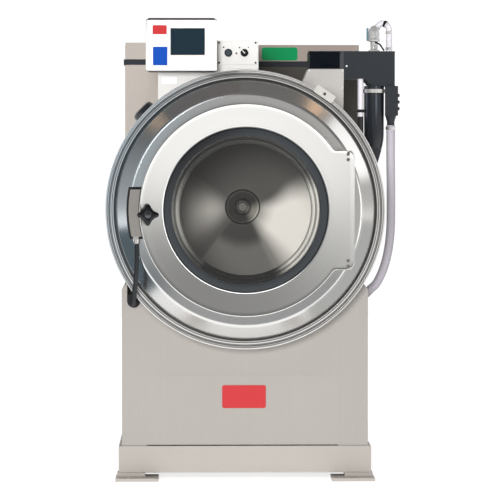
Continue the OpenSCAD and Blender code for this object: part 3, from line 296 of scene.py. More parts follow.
def plate_mesh(name, width, height, thick, corner, centre, bulge=0.0, edge=0.6, turn=0.0):
    """A plate that faces the front, with round corners and edges and a slight crown.

    Rows go from the back's middle over the rim to the front's middle; each is the outline
    of a round-cornered rectangle drawn in by its own amount. centre is (x, z, back distance
    ahead), and turn the angle in degrees by which the plate leans to the left.
    """
    corners = np.array([[1, 1], [-1, 1], [-1, -1], [1, -1]])
    angle = np.linspace(0, math.pi / 2, 8)[None] + np.arange(4)[:, None] * math.pi / 2
    arc = np.stack([np.cos(angle), np.sin(angle)], -1)

    def ring(draw):
        r = max(corner - draw, 0.05)
        at = corners * (np.array([width, height]) / 2 - draw - r)
        return (at[:, None] + r * arc).reshape(-1, 2)

    rim = np.linspace(0, math.pi / 2, 5)
    draws = np.r_[edge, 0.0, edge * (1 - np.sin(math.pi / 2 - rim))[1:], 2.0 + edge]
    highs = np.r_[0.0, edge, (thick - edge + edge * np.sin(rim))[1:], thick + bulge * 0.3]
    pole = np.zeros((angle.size, 2))
    flat = np.array([pole, *(ring(draw) for draw in draws), pole])
    ahead = np.r_[0.0, highs, thick + bulge][:, None] + np.zeros(angle.size)
    cos, sin = math.cos(math.radians(turn)), math.sin(math.radians(turn))
    x, z = flat[..., 0], flat[..., 1]
    points = np.stack(
        [centre[0] + x * cos - z * sin, -(centre[2] + ahead), centre[1] + x * sin + z * cos],
        -1,
    )
    return grid_mesh(name, points)


def plate(name, width, height, thick, corner, centre, paint):
    """A plain plate with round corners on a front face; centre is (x, z, distance ahead)."""
    mesh = plate_mesh(name, width, height, thick, corner, centre, edge=min(0.4, thick / 2))
    add_piece(name, mesh, paint, sharp=50.0)


def softened(node, paint=None, width=0.8, segments=2, rim=None):
    """A merged copy of a node whose sharp edges are rounded, in place of the node.

    Faces that are all but level with each other are joined first. The copy has its slot's
    finish unless another is given, and rim names one for its round edges.
    """
    merge, flat_angle, edge_angle = 2e-6, math.radians(0.4), math.radians(32.0)
    mesh = NODES[node].data.copy()
    bm = bmesh.new()
    bm.from_mesh(mesh)
    bmesh.ops.remove_doubles(bm, verts=bm.verts, dist=merge)
    bmesh.ops.dissolve_limit(bm, angle_limit=flat_angle, verts=bm.verts, edges=bm.edges)
    bm.to_mesh(mesh)
    bm.free()
    piece = stand_in(node, mesh, paint)
    bevel = piece.modifiers.new("rounded edges", "BEVEL")
    bevel.width = width * MM
    bevel.segments = segments
    bevel.limit_method = "ANGLE"
    bevel.angle_limit = edge_angle
    bevel.harden_normals = True
    if rim:
        mesh.materials.append(finish(rim))
        bevel.material = 1
    return piece


def soften_all(names, width=0.8, segments=2):
    """Rounded copies of several nodes, each with its slot's finish."""
    for name in names:
        softened(name, None, width, segments)


def second_finish(piece, paint, inside):
    """Gives a second finish to the faces whose middles, in millimetres, lie inside."""
    mesh = piece.data
    mesh.materials.append(finish(paint))
    middles = np.zeros(len(mesh.polygons) * 3)
    mesh.polygons.foreach_get("center", middles)
    chosen = inside(middles.reshape(-1, 3) / MM)
    mesh.polygons.foreach_set("material_index", chosen.astype(int))


# Shader helpers


class Value:
    """A socket of a shader tree. Arithmetic on it adds Math nodes."""

    def __init__(self, shader, socket):
        self.shader = shader
        self.socket = socket

    def math(self, operation, *others):
        sockets = dict(enumerate((self, *others)))
        return self.shader.node("ShaderNodeMath", {"operation": operation}, sockets)

    def __add__(self, other):
        return self.math("ADD", other)

    def __sub__(self, other):
        return self.math("SUBTRACT", other)

    def __rsub__(self, other):
        return (self * -1.0) + other

    def __mul__(self, other):
        return self.math("MULTIPLY", other)

    def __pow__(self, other):
        return self.math("POWER", other)

    __radd__ = __add__
    __rmul__ = __mul__

    def ramp(self, low, high, to_low=0.0, to_high=1.0):
        """Goes smoothly from to_low to to_high as the value goes from low to high."""
        return self.shader.node(
            "ShaderNodeMapRange",
            {"interpolation_type": "SMOOTHSTEP"},
            {0: self, 1: low, 2: high, 3: to_low, 4: to_high},
        )

    def between(self, low, high, soft):
        """1 from low to high and 0 outside, halfway there at both, over twice what soft says."""
        return self.ramp(low - soft, low + soft) * self.ramp(high + soft, high - soft)

    def sway(self, span):
        """A value between 0 and 1 turned into one that wanders over span about 0."""
        return (self - 0.5) * span


class Shader:
    """One material's node tree."""

    def __init__(self, name):
        self.material = bpy.data.materials.new(name)
        self.start(self.material, "Object")

    def start(self, owner, coordinates):
        """Empties an owner's tree and takes the coordinates that patterns follow."""
        owner.use_nodes = True
        self.tree = owner.node_tree
        self.tree.nodes.clear()
        self.place = self.node("ShaderNodeTexCoord", output=coordinates)

    def node(self, kind, settings=None, sockets=None, output=0):
        """Adds a node, sets its settings first, then its sockets, and gives one output."""
        made = self.tree.nodes.new(kind)
        for key, value in (settings or {}).items():
            setattr(made, key, value)
        for key, value in (sockets or {}).items():
            if isinstance(value, Value):
                self.tree.links.new(value.socket, made.inputs[key])
            elif value is not None:
                made.inputs[key].default_value = value
        return Value(self, made.outputs[output]) if made.outputs else None

    def xyz(self):
        """The three numbers of the place."""
        return [
            self.node("ShaderNodeSeparateXYZ", {}, {0: self.place}, output=k)
            for k in range(3)
        ]

    def joined(self, x, y, z):
        return self.node("ShaderNodeCombineXYZ", {}, {0: x, 1: y, 2: z})

    def product(self, a, b):
        """Two vectors or colours multiplied number by number."""
        return self.node("ShaderNodeVectorMath", {"operation": "MULTIPLY"}, {0: a, 1: b})

    def noise(self, scale, vector=None, detail=2.0, rough=0.5):
        sockets = {"Scale": scale, "Detail": detail, "Roughness": rough}
        sockets["Vector"] = vector or self.place
        return self.node("ShaderNodeTexNoise", {}, sockets)

    def mix(self, factor, a, b):
        """Colour a at factor 0 and colour b at 1."""
        sockets = {0: factor, 6: full(a), 7: full(b)}
        return self.node("ShaderNodeMix", {"data_type": "RGBA"}, sockets, output=2)

    def shade(self, colour, factor):
        """A colour made darker or lighter by a value round 1."""
        return self.product(self.joined(factor, factor, factor), colour)

    def bump(self, height, distance, strength):
        """Normal of a surface raised by height times distance, in metres."""
        sockets = {"Height": height, "Distance": distance, "Strength": strength}
        return self.node("ShaderNodeBump", {}, sockets)

    def surface(self, colour, roughness, metallic=0.0, normal=None, **more):
        """Principled surface; more names further sockets, with _ for a space."""
        sockets = {"Base Color": full(colour), "Roughness": roughness, "Metallic": metallic}
        sockets["Normal"] = normal
        sockets.update({name.replace("_", " "): value for name, value in more.items()})
        return self.output(self.node("ShaderNodeBsdfPrincipled", {}, sockets))

    def output(self, shader):
        self.node("ShaderNodeOutputMaterial", {}, {"Surface": shader})
        return self.material


class DrumShader(Shader):
    """Material of a piece that goes round the drum axis."""

    def __init__(self, name):
        super().__init__(name)
        x, self.y, z = self.xyz()
        self.height = z - AXIS * MM
        self.radius = (x * x + self.height * self.height) ** 0.5
        self.angle = self.height.math("ARCTAN2", x)

    def grain(self, across, along, detail=3.0, rough=0.65):
        """Noise drawn out round the axis; across is its scale a metre, and along a radian."""
        place = self.joined(self.radius * across, self.angle * along, self.y * across)
        return self.noise(1.0, place, detail, rough)

    def broad(self, across, along):
        """Soft noise like the grain, but the same at every distance ahead."""
        return self.noise(1.0, self.joined(self.radius * across, self.angle * along, 0.0))

    def ringed(self, tone, rings, soft):
        """A tone times the gain of each ring, given as (inner, outer, gain) with radii in mm."""
        for inner, outer, gain in rings:
            inside = self.radius.between(inner * MM, outer * MM, soft)
            tone = tone * (1.0 + inside * (gain - 1.0))
        return tone

    def fan(self, middle, half, soft, grow=0.0):
        """1 inside a sector of the turn round the axis and 0 outside, with soft sides.

        middle and half, its half width, are in degrees, soft and grow in radians. The side
        with the larger angle moves out by twice what grow says.
        """
        middle, half = math.radians(middle), math.radians(half)
        turn = 2 * math.pi
        off = (self.angle - grow - middle + 1.5 * turn).math("MODULO", turn) - math.pi
        return (off.math("ABSOLUTE") - grow).ramp(half + soft, half - soft)

    def painted_drum_fans(self):
        """Shares of the three painted fans of light and shade, right, left and low, for the
        brushed steel's reflections.
        """
        grow = self.radius.ramp(0.08, 0.17, -0.09, 0.0)
        return (
            self.fan(-17, 34, 0.28, grow), self.fan(184, 22, 0.38), self.fan(-94, 34, 0.03)
        )


def full(colour):
    """A colour of three numbers with its fourth; links and colours of four stay."""
    if isinstance(colour, (tuple, list)) and len(colour) == 3:
        return (*colour, 1.0)
    return colour


def srgb(r, g, b):
    """Linear colour of a shade given as it shows on a screen, from 0 to 255."""
    c = np.array([r, g, b]) / 255.0
    linear = np.where(c <= 0.04045, c / 12.92, ((c + 0.055) / 1.055) ** 2.4)
    return tuple(float(v) for v in linear)


# Finishes


def brushed_steel(name, colour, roughness, metallic=1.0, cloud=0.06, grain=(900.0, 60.0, 12.0)):
    """Sheet steel brushed along one direction, with faint clouds and streaks."""
    s = Shader(name)
    fine = s.noise(1.0, s.product(s.place, grain), 3.0, 0.6)
    streak = s.noise(1.0, s.product(s.place, tuple(scale * 0.12 for scale in grain)))
    clouds = s.noise(2.2, detail=3.0)
    tone = 1.0 + fine.sway(0.06) + streak.sway(0.04) + clouds.sway(2 * cloud)
    rough = roughness + fine.sway(0.12) + clouds.sway(0.06)
    return s.surface(s.shade(colour, tone), rough, metallic, s.bump(fine, 2e-5, 0.6))


def turned_steel(name, colour, roughness, sweep=0.0):
    """Steel polished round the drum axis; sweep is the span of its broad light and shade."""
    s = DrumShader(name)
    fine, bands = s.grain(1400.0, 3.0), s.grain(90.0, 0.8, 2.0, 0.5)
    tone = 1.0 + fine.sway(0.05) + bands.sway(0.03) + s.broad(2.0, 2.2).sway(sweep)
    rough = roughness + fine.sway(0.06) + bands.sway(0.03)
    return s.surface(s.shade(colour, tone), rough, 1.0, s.bump(fine, 3e-6, 0.35))


def pressed_steel(name, colour, roughness, grooves):
    """Turned steel with painted shade in its grooves, given as (inner, outer, gain) in mm.

    The flat face has painted shade towards its foot and at the lower left, the upper left a
    painted cool reflection and the round edge a painted highlight line in two sectors; the
    rim outside is duller.
    """
    s = DrumShader(name)
    fine = s.grain(1100.0, 3.0, rough=0.6)
    tone = 1.0 + fine.sway(0.05) + s.broad(3.0, 1.4).sway(0.05)
    # Painted shade in the grooves.
    tone = s.ringed(tone, grooves, 8e-4)
    tone = s.ringed(tone, [(364.0, 400.0, 0.9)], 2e-3)
    foot, corner = s.height.ramp(-0.1, -0.24), s.fan(210, 14, 0.2)
    # Painted shade on the flat face, towards its foot and at the lower left.
    shade = s.radius.ramp(0.358, 0.354) * (foot * 0.4 + corner * 0.3)
    # A painted cool reflection at the upper left, then the bluish grey of the painted shade.
    tint = s.mix(s.fan(158, 42, 0.7) * 0.75, colour, srgb(206, 220, 230))
    tint = s.mix(shade, tint, srgb(92, 104, 114))
    # A painted highlight line on the round edge, in two sectors, where the metal turns white.
    edge = s.radius.between(0.35425, 0.35825, 7.5e-4)
    lit = (s.fan(138, 30, 0.4) + s.fan(4, 20, 0.3)) * edge
    rim = s.radius.ramp(0.398, 0.402)
    rough = roughness + fine.sway(0.05) + rim * 0.14
    metallic = 1.0 - rim * 0.12 - lit * 0.85
    return s.surface(s.shade(tint, tone), rough, metallic, s.bump(fine, 3e-6, 0.35))


def painted(name, colour, roughness, metallic=0.0, wear=0.05):
    """Satin paint with a fine orange peel and faint rubbed clouds."""
    s = Shader(name)
    skin = s.noise(420.0, detail=1.0)
    clouds = s.noise(6.0, detail=4.0, rough=0.6)
    tone = 1.0 + clouds.sway(2 * wear) + skin.sway(0.03)
    rough = roughness + clouds.sway(0.14)
    return s.surface(s.shade(colour, tone), rough, metallic, s.bump(skin, 3e-5, 0.5))


def moulded(name, colour, roughness, shine=0.5, grain=900.0, depth=4e-5, coat=0.0):
    """Moulded plastic or rubber with a fine grain and slight variation of its gloss."""
    s = Shader(name)
    fine = s.noise(grain)
    broad = s.noise(9.0, detail=3.0)
    tone = 1.0 + fine.sway(0.12) + broad.sway(0.12)
    return s.surface(
        s.shade(colour, tone), roughness + broad.sway(0.16) + fine.sway(0.06), 0.0,
        s.bump(fine, depth, 0.5), Coat_Weight=coat, Coat_Roughness=0.12,
        Specular_IOR_Level=shine,
    )


def cast_metal(name, colour, roughness):
    """Painted casting with a sand-cast skin."""
    s = Shader(name)
    skin = s.noise(260.0, detail=4.0, rough=0.7)
    broad = s.noise(14.0, detail=3.0)
    tone = 1.0 + skin.sway(0.25) + broad.sway(0.2)
    rough = roughness + broad.sway(0.2)
    return s.surface(s.shade(colour, tone), rough, 0.3, s.bump(skin, 3e-4, 0.5))


def clear_hose_finish(name, tint, milk, sleeve=0.0):
    """Clear hose wall: lets light through where it is looked at straight on.

    Below the height given as sleeve, in metres, a black sleeve covers it.
    """
    s = Shader(name)
    bare = s.xyz()[2].ramp(sleeve - 1e-3, sleeve + 1e-3)
    ring = s.noise(500.0)
    edge = s.node("ShaderNodeLayerWeight", {}, {"Blend": 0.35}, output="Facing")
    cloud = s.noise(18.0)
    alpha = (milk + 1.0 - bare + edge * 0.35 + cloud.sway(0.08)).math("MINIMUM", 1.0)
    tone = (1.12 - edge * 0.75) * (0.03 + bare * 0.97)
    return s.surface(
        s.shade(tint, tone), 0.18, 0.0, s.bump(ring, 4e-5, 0.4), Alpha=alpha,
        Specular_IOR_Level=0.6,
    )


def glass_finish(name, reflected):
    """Clear toughened glass: what isn't reflected goes straight through."""
    s = Shader(name)
    through = (0.985, 0.985, 0.98)
    normal = s.bump(s.noise(3.0, detail=1.0), 4e-4, 0.3)
    fresnel = s.node("ShaderNodeFresnel", {}, {"IOR": 1.45, "Normal": normal})
    clear = s.node("ShaderNodeBsdfTransparent", {}, {"Color": full(through)})
    sockets = {"Color": full(reflected), "Roughness": 0.02, "Normal": normal}
    gloss = s.node("ShaderNodeBsdfGlossy", {}, sockets)
    return s.output(s.node("ShaderNodeMixShader", {}, {0: fresnel, 1: clear, 2: gloss}))


def drum_back_painted_fans(name, colour):
    """Dished back: painted fans of light and shade round the hub, for the brushed steel's
    reflections, with one sharp painted shadow edge.
    """
    s = DrumShader(name)
    fine = s.grain(1500.0, 4.0)
    right, left, low = s.painted_drum_fans()
    inner, outer = s.radius.ramp(0.02, 0.12), s.radius.ramp(0.10, 0.15)
    # Painted shade all over, lit by painted fans, bright at the right and dimmer at the left; the
    # low fan is painted shade near the hub and painted light further out.
    tone = 0.086 + outer * 0.012 + inner * (right * 0.94 + left * 0.52)
    tone = tone + low * (outer * 0.11 - 0.04)
    tone = (tone * (1.0 + fine.sway(0.14))).math("MINIMUM", 1.0)
    rough = 0.36 + fine.sway(0.1)
    return s.surface(s.shade(colour, tone), rough, 0.0, s.bump(fine, 2e-5, 0.5))


def hub_painted_light(name, colour):
    """Hub with the back's turned grain, in painted shade, with a painted bright fan at the lower
    right.
    """
    s = DrumShader(name)
    fine = s.grain(1500.0, 4.0)
    # Rings of painted highlight and painted shade on the hub's steps, as (inner, outer, gain) in
    # mm.
    rings = ((16.5, 18.5, 3.2), (22.0, 27.0, 0.4), (50.5, 52.5, 1.9), (53.5, 58.5, 0.3))
    tone = 0.06 + s.fan(-24, 30, 0.45) * s.radius.ramp(0.01, 0.04) * 0.62
    tone = s.ringed(tone, rings, 5e-4) * (1.0 + fine.sway(0.2))
    return s.surface(s.shade(colour, tone), 0.34, 0.4, s.bump(fine, 2e-5, 0.5))


def perforated_steel_painted_mouth(name, colour):
    """Drum wall: brushed steel with staggered rows of round holes in its round part.

    Its mouth, seen through the glass, shows the back's painted fans of light and shade, and
    painted shade in two grooves.
    """
    s = DrumShader(name)
    row_pitch, holes_in_row, wall_r = 0.022, 120, (0.370, 0.375)
    row = s.y * (1 / row_pitch)
    odd = (row.math("FLOOR") * 0.5).math("FRACT")
    across = (s.angle * (holes_in_row / (2 * math.pi)) + odd).math("FRACT") - 0.5
    along = row.math("FRACT") - 0.5
    far = (across * across + along * along) ** 0.5
    solid = 1.0 - (1.0 - far.ramp(0.15, 0.19)) * s.radius.ramp(*wall_r)
    fine = s.grain(1200.0, 4.0, rough=0.6)
    right, left, low = s.painted_drum_fans()
    # Painted fans of light and shade at the mouth, with painted shade in its two grooves.
    painted_fans = (0.10 + right * 1.6 + left * 0.68 - low * 0.085).math("MINIMUM", 1.0)
    lit_mouth = s.ringed(painted_fans, ((204.2, 209.0, 0.4), (218.5, 223.5, 0.4)), 4e-4)
    mouth = s.y.ramp(-0.515, -0.525) * s.radius.ramp(0.30, 0.26)
    tone = (0.92 + fine.sway(0.14)) * (0.12 + solid * 0.88)
    tone = tone * (1.0 - mouth) + mouth * lit_mouth
    rough, metallic = 0.34 + fine.sway(0.1), 0.8 - mouth * 0.7
    return s.surface(s.shade(colour, tone), rough, metallic, s.bump(solid, 6e-4, 0.8))


def hem_painted_light(name, colour):
    """Hem of the door's window hole, with a painted highlight where it looks up on the left and
    below, and painted shade elsewhere.
    """
    s = DrumShader(name)
    fine = s.grain(900.0, 20.0, 2.0, 0.5)
    tone = (0.2 + s.fan(232, 74, 0.3) * 0.8) * (1.0 + fine.sway(0.08))
    return s.surface(s.shade(colour, tone), 0.3, 0.1, s.bump(fine, 1e-5, 0.3))


def seal_painted_shade(name, colour):
    """Matt grey rubber of the window seal, with painted shade at the upper left."""
    s = DrumShader(name)
    grain = s.noise(900.0)
    tone = (1.0 - s.fan(130, 34, 0.5) * 0.6) * (1.0 + grain.sway(0.1))
    return s.surface(
        s.shade(colour, tone), 0.5, 0.0, s.bump(grain, 4e-5, 0.5), Specular_IOR_Level=0.3
    )


def supply_hose_painted_streaks(name, colour):
    """Glossy black rubber with two upright painted highlights, soft streaks of a room's
    reflection.
    """
    s = Shader(name)
    x, y, z = s.xyz()
    fine, broad = s.noise(700.0), s.noise(9.0, detail=3.0)
    # Painted highlights down the straight part: a streak just right of the middle and a fainter
    # one near the left side.
    streak = x.between(0.41575, 0.42075, 1.75e-3)
    edge = x.ramp(0.384, 0.387) * x.ramp(0.393, 0.389) * 0.5
    lit = (streak + edge) * z.ramp(1.10, 1.19) * (4.0 + broad * 3.0)
    tone = 1.0 + lit + fine.sway(0.1)
    rough = 0.16 + broad * 0.06
    return s.surface(s.shade(colour, tone), rough, 0.0, s.bump(fine, 1e-5, 0.5))


def rim_painted_shade(name, colour):
    """Rounded edge of the white face, in painted shade: dark along the top and dim along the foot.
    """
    s = Shader(name)
    z = s.xyz()[2]
    peel = s.noise(420.0)
    tone = 1.0 - z.ramp(1.4335, 1.4352) * 0.93 - z.ramp(1.2812, 1.2796) * 0.7
    tone = tone + peel.sway(0.04)
    return s.surface(s.shade(colour, tone), 0.45, 0.0, s.bump(peel, 2e-5, 0.3))


# Each row: a colour as it shows on a screen, then the values that its function takes after it.
FINISHES = {
    brushed_steel: {
        "sheet_steel": ((168, 163, 158), 0.46, 0.35, 0.03),
        "rear_sheet": ((184, 176, 169), 0.46, 0.3, 0.03),
        "shaded_rear_sheet": ((166, 154, 146), 0.46, 0.3, 0.03),
        "shaded_sheet": ((72, 69, 65), 0.5, 0.2),
        "chute_sheet": ((192, 189, 185), 0.46, 0.3),
        "clamp_sheet": ((204, 201, 196), 0.4, 0.35),
        "latch_case": ((128, 125, 121), 0.42, 0.3, 0.06, (60.0, 60.0, 900.0)),
        "shaft_steel": ((200, 199, 196), 0.3),
        "fitting_metal": ((225, 223, 220), 0.25),
        "pipe_metal": ((226, 226, 225), 0.25, 0.75),
        "screw_steel": ((120, 116, 112), 0.35),
        "dark_screw": ((58, 62, 68), 0.35),
        "bolt_steel": ((150, 147, 143), 0.35),
    },
    turned_steel: {
        "shell_steel": ((232, 231, 229), 0.27),
        "door_steel": ((246, 246, 244), 0.22, 0.03),
    },
    # Rows with grooves in painted shade, given as (inner, outer, gain) in mm.
    pressed_steel: {
        "pressed_steel": ((232, 231, 229), 0.24, (
            (401.5, 409.4, 0.34), (413.2, 415.8, 0.26), (419.2, 421.8, 0.26),
            (401.0, 424.0, 0.92),
        )),
        "bright_steel": ((240, 239, 237), 0.2, ((425.0, 426.0, 0.5), (428.6, 430.2, 0.5))),
    },
    painted: {
        "light_sheet": ((216, 215, 212), 0.45, 0.0, 0.01),
        "frame_steel": ((172, 166, 160), 0.5, 0.25),
        "white_face": ((224, 224, 225), 0.4, 0.0, 0.01),
        "box_dark": ((62, 53, 48), 0.5, 0.2),
        "lamp_bezel": ((206, 204, 200), 0.4),
        "nut_steel": ((132, 130, 124), 0.25, 0.5),
        "plate_red": ((176, 44, 48), 0.4, 0.0, 0.02),
        "plate_blue": ((0, 66, 158), 0.4, 0.0, 0.02),
        "plate_green": ((4, 134, 78), 0.4, 0.0, 0.02),
        "plate_white": ((238, 238, 236), 0.4, 0.0, 0.02),
    },
    moulded: {
        "gasket_black": ((24, 25, 27), 0.6),
        "black_rubber": ((22, 25, 29), 0.3, 0.5, 700.0, 2e-5),
        "black_plastic": ((10, 11, 13), 0.22, 0.45, 700.0, 2e-5),
        "supply_plastic": ((42, 45, 49), 0.5, 0.3),
        "flap_frame": ((62, 64, 68), 0.4, 0.4),
        "flap_gloss": ((4, 9, 18), 0.1, 0.2, 1200.0, 5e-6),
        "screen_glass": ((18, 36, 46), 0.16, 0.25, 1200.0, 5e-6),
        "button_grey": ((50, 60, 68), 0.35, 0.5, 700.0, 2e-5),
        "knob_cap": ((30, 34, 38), 0.1, 1.0, 700.0, 1e-5),
        "hose_gloss": ((30, 33, 38), 0.14, 0.5, 700.0, 1e-5),
        "lamp_red": ((98, 70, 66), 0.25, 0.5, 700.0, 2e-5, 0.3),
        "stem_blue": ((96, 126, 134), 0.4),
        "valve_blue": ((58, 74, 110), 0.42),
    },
    cast_metal: {"cast_grey": ((88, 92, 98), 0.6)},
    clear_hose_finish: {
        "milky_tube": ((224, 220, 227), 0.6, 1.14),
        "clear_tube": ((176, 170, 180), 0.72),
    },
    glass_finish: {"window_glass": ((255, 255, 255),)},
    drum_back_painted_fans: {"drum_back": ((250, 245, 238),)},
    hub_painted_light: {"hub_steel": ((214, 208, 198),)},
    perforated_steel_painted_mouth: {"drum_steel": ((222, 220, 214),)},
    hem_painted_light: {"hem_steel": ((250, 250, 248),)},
    seal_painted_shade: {"seal_rubber": ((48, 51, 54),)},
    supply_hose_painted_streaks: {"supply_hose": ((28, 31, 36),)},
    rim_painted_shade: {"face_rim": ((206, 201, 196),)},
}
FINISH_OF = {name: (make, row) for make, rows in FINISHES.items() for name, row in rows.items()}


def finish(name):
    """The material of a slot or a finish, made when it is first asked for."""
    full_name = name + "_finish"
    make, (colour, *values) = FINISH_OF[name]
    return bpy.data.materials.get(full_name) or make(full_name, srgb(*colour), *values)


# Shapes of the shell, the door, the drum and the hoses


def clamp_ring_profile():
    """Round band whose front edge is rolled into a bead."""
    return filleted(
        [
            (425.3, 525), (435, 525), (435, 554), (434.6, 557.3), (433.4, 558.7),
            (432, 559), (430.6, 558.6), (429.4, 557.2), (429, 554), (429, 549), (425.3, 549),
        ],
        [0.5, 1, 1, 1, 1, 1, 1, 1, 1, 1, 0.5],
    )


def front_head_profile():
    """Pressed front: rim band, groove, bulging band, round edge, flat face and throat."""
    path = np.concatenate(
        [
            [(424.0, 548.0), (423.0, 550.2), (421.5, 551.2), (418.0, 551.6)],
            bowed((416.5, 551.7), (415.2, 552.6), (413.8, 551.8), 4),
            [(411.5, 551.8), (410.2, 551.7), (409.2, 551.0)],
            bowed((408.6, 549.8), (404.8, 533.0), (401.2, 548.0), 10),
            bowed((401.2, 556.0), (400.8, 575.0), (395.6, 580.6), 8)[1:],
            np.linspace((394.4, 582.1), (365.4, 618.4), 24),
            bowed((364.6, 619.4), (359.6, 626.0), (354.0, 626.0), 14),
            np.stack([np.linspace(351, 240, 12), np.full(12, 626.0)], 1),
            bowed((237.0, 626.0), (228.0, 626.0), (228.0, 617.0), 10),
            [(228.0, 600.0), (228.0, 580.0), (228.0, 557.0)],
        ]
    )
    return thickened(path, 4.0)


def door_edge(angle):
    """Distance of the door plate's outer edge from the drum axis at an angle.

    A circle, and on its right a hinge plate with a straight edge, round corners, straight
    ends and a hollow blend back into the circle, alike above and below the middle.
    """
    ear_x, ear_z, corner, blend = 334.0, 183.0, 25.0, 20.0
    blend_z = ear_z + blend
    blend_x = math.sqrt((DOOR_R + blend) ** 2 - blend_z**2)
    a = np.abs((angle + math.pi) % (2 * math.pi) - math.pi)
    c, s = np.cos(a), np.sin(a)

    def hit(x, z, radius, side):
        along = x * c + z * s
        return along + side * np.sqrt(np.maximum(along**2 - x * x - z * z + radius**2, 0))

    stops = [
        math.atan2(ear_z - corner, ear_x), math.atan2(ear_z, ear_x - corner),
        math.atan2(ear_z, blend_x), math.atan2(blend_z, blend_x),
    ]
    with np.errstate(divide="ignore"):
        return np.select(
            [a < stop for stop in stops],
            [
                ear_x / c, hit(ear_x - corner, ear_z - corner, corner, 1),
                ear_z / s, hit(blend_x, blend_z, blend, -1),
            ],
            DOOR_R,
        )


def door_ring_mesh():
    """Dished door plate with rolled lips and walls that stand back towards the shell.

    Its face lies on a shallow cone round the drum axis. Each row is a circle, the plate's
    edge or a share of the way between, raised from the cone by what its lip takes.
    """
    near_plate = np.radians(np.linspace(24, 37, 90))
    angle = np.unique(np.concatenate([round_angles(360), near_plate, 2 * math.pi - near_plate]))
    edge = door_edge(angle)
    inner, wall, back, skin = DOOR_HOLE_R, DOOR_R - 0.5, DOOR_BACK_H, 5.0

    def cone(r):
        return FACE_H + DOOR_LIFT - DOOR_DISH * (DOOR_R - r)

    span = [(inner + 6 + (edge - inner - 12) * t, 0.0) for t in np.linspace(0, 1, 9)]
    inner_lip = [(inner + 0.3, -0.9), (inner + 1.0, -0.2), (inner + 2.2, 0.1)]
    outer_lip = [
        (edge - 4.8, 0.2), (edge - 3.6, 0.8), (edge - 2.3, 0.9), (edge - 1.0, 0.3),
        (edge - 0.25, -0.8), (edge, -2.4), (edge - 0.2, -4.0),
        (np.maximum(edge - 1.5, wall), -skin), (wall, -skin),
    ]
    rows = [(inner, back), (inner, cone(inner) - 2.0)]
    rows += [(r, cone(r) + lift) for r, lift in inner_lip + span + outer_lip]
    rows += [
        (wall, back), (wall - 3.5, back), (wall - 3.5, cone(wall - 3.5) - skin),
        (inner + 3.5, cone(inner + 3.5) - skin), (inner + 3.5, back),
    ]
    return grid_mesh("door_ring", ring_points(rows, angle), close_rows=True)


def star_knob_mesh():
    """Star grip: four tapered lobes with hollow sides round a hub, on a collar.

    Its edge is as far out as the hollows, and further by a bell curve of the angle off the
    middle of the nearest lobe. The rows are shares of that edge, from the collar forwards.
    """
    angle = round_angles(192)
    off = np.abs((angle + math.pi / 4) % (math.pi / 2) - math.pi / 4)
    hollow, tip, spread = 21.5, 33.8, math.radians(21.0)
    reach = hollow + (tip - hollow) * np.exp(-((off / spread) ** 2))
    rows = [
        (0, 0), (15, 0), (15, 8.5), (0.55 * reach + 5.5, 9.2), (0.93 * reach, 9.8),
        (reach, 12), (reach, 16), (0.985 * reach, 19.5), (0.94 * reach, 22.4),
        (0.86 * reach, 24.6), (0.74 * reach, 26.0), (0.5 * reach + 3.5, 26.6),
        (0.2 * reach + 7, 26.4), (10.5, 26.2), (9.8, 28.6), (8.4, 29.8), (0, 30.0),
    ]
    rows = [(radius, KNOB_H + ahead) for radius, ahead in rows]
    return grid_mesh("star_knob", ring_points(rows, angle, centre=KNOB_PLACE))


def hub_nut_mesh():
    """Six-sided nut on the hub, its corners taken off by a cone, with a centred stud.

    Its radius is half the width across flats over the cosine of the angle off a flat.
    """
    angle = round_angles(96)
    across = 12.6
    flat = across / np.cos((angle + math.pi / 6) % (math.pi / 3) - math.pi / 6)
    rows = [
        (0, 53.0), (flat, 53.0), (flat, 63.4 - 0.6 * (flat - across)),
        (np.minimum(flat, across - 0.4), 64.4), (7.0, 64.4), (6.6, 63.8), (5.6, 63.8),
        (5.2, 65.6), (4.4, 66.1), (0, 66.1),
    ]
    return grid_mesh("hub_nut", ring_points(rows, angle))


def latch_gasket_mesh():
    """Thin gasket under the latch housing that shows as a dark line round it.

    Each row is an upright arc on the left of the drum axis, given by radius and distance
    ahead, and the ends close in the rows' middle.
    """
    z = np.linspace(759.5, 919.5, 40)
    rows = [(326.5, 626.1), (367.4, 626.1), (368.0, 629.0), (367.0, 630.4), (326.5, 630.4)]
    points = np.array(
        [np.stack([-np.sqrt(r * r - (z - AXIS) ** 2), -h + 0 * z, z], -1) for r, h in rows]
    )
    middle = points.mean(0)
    ends = [np.repeat(middle[i][None, None], len(rows), 0) for i in (0, -1)]
    points = np.concatenate([ends[0], points, ends[1]], 1)
    return grid_mesh("latch_gasket", points, close_rows=True, close_cols=False)


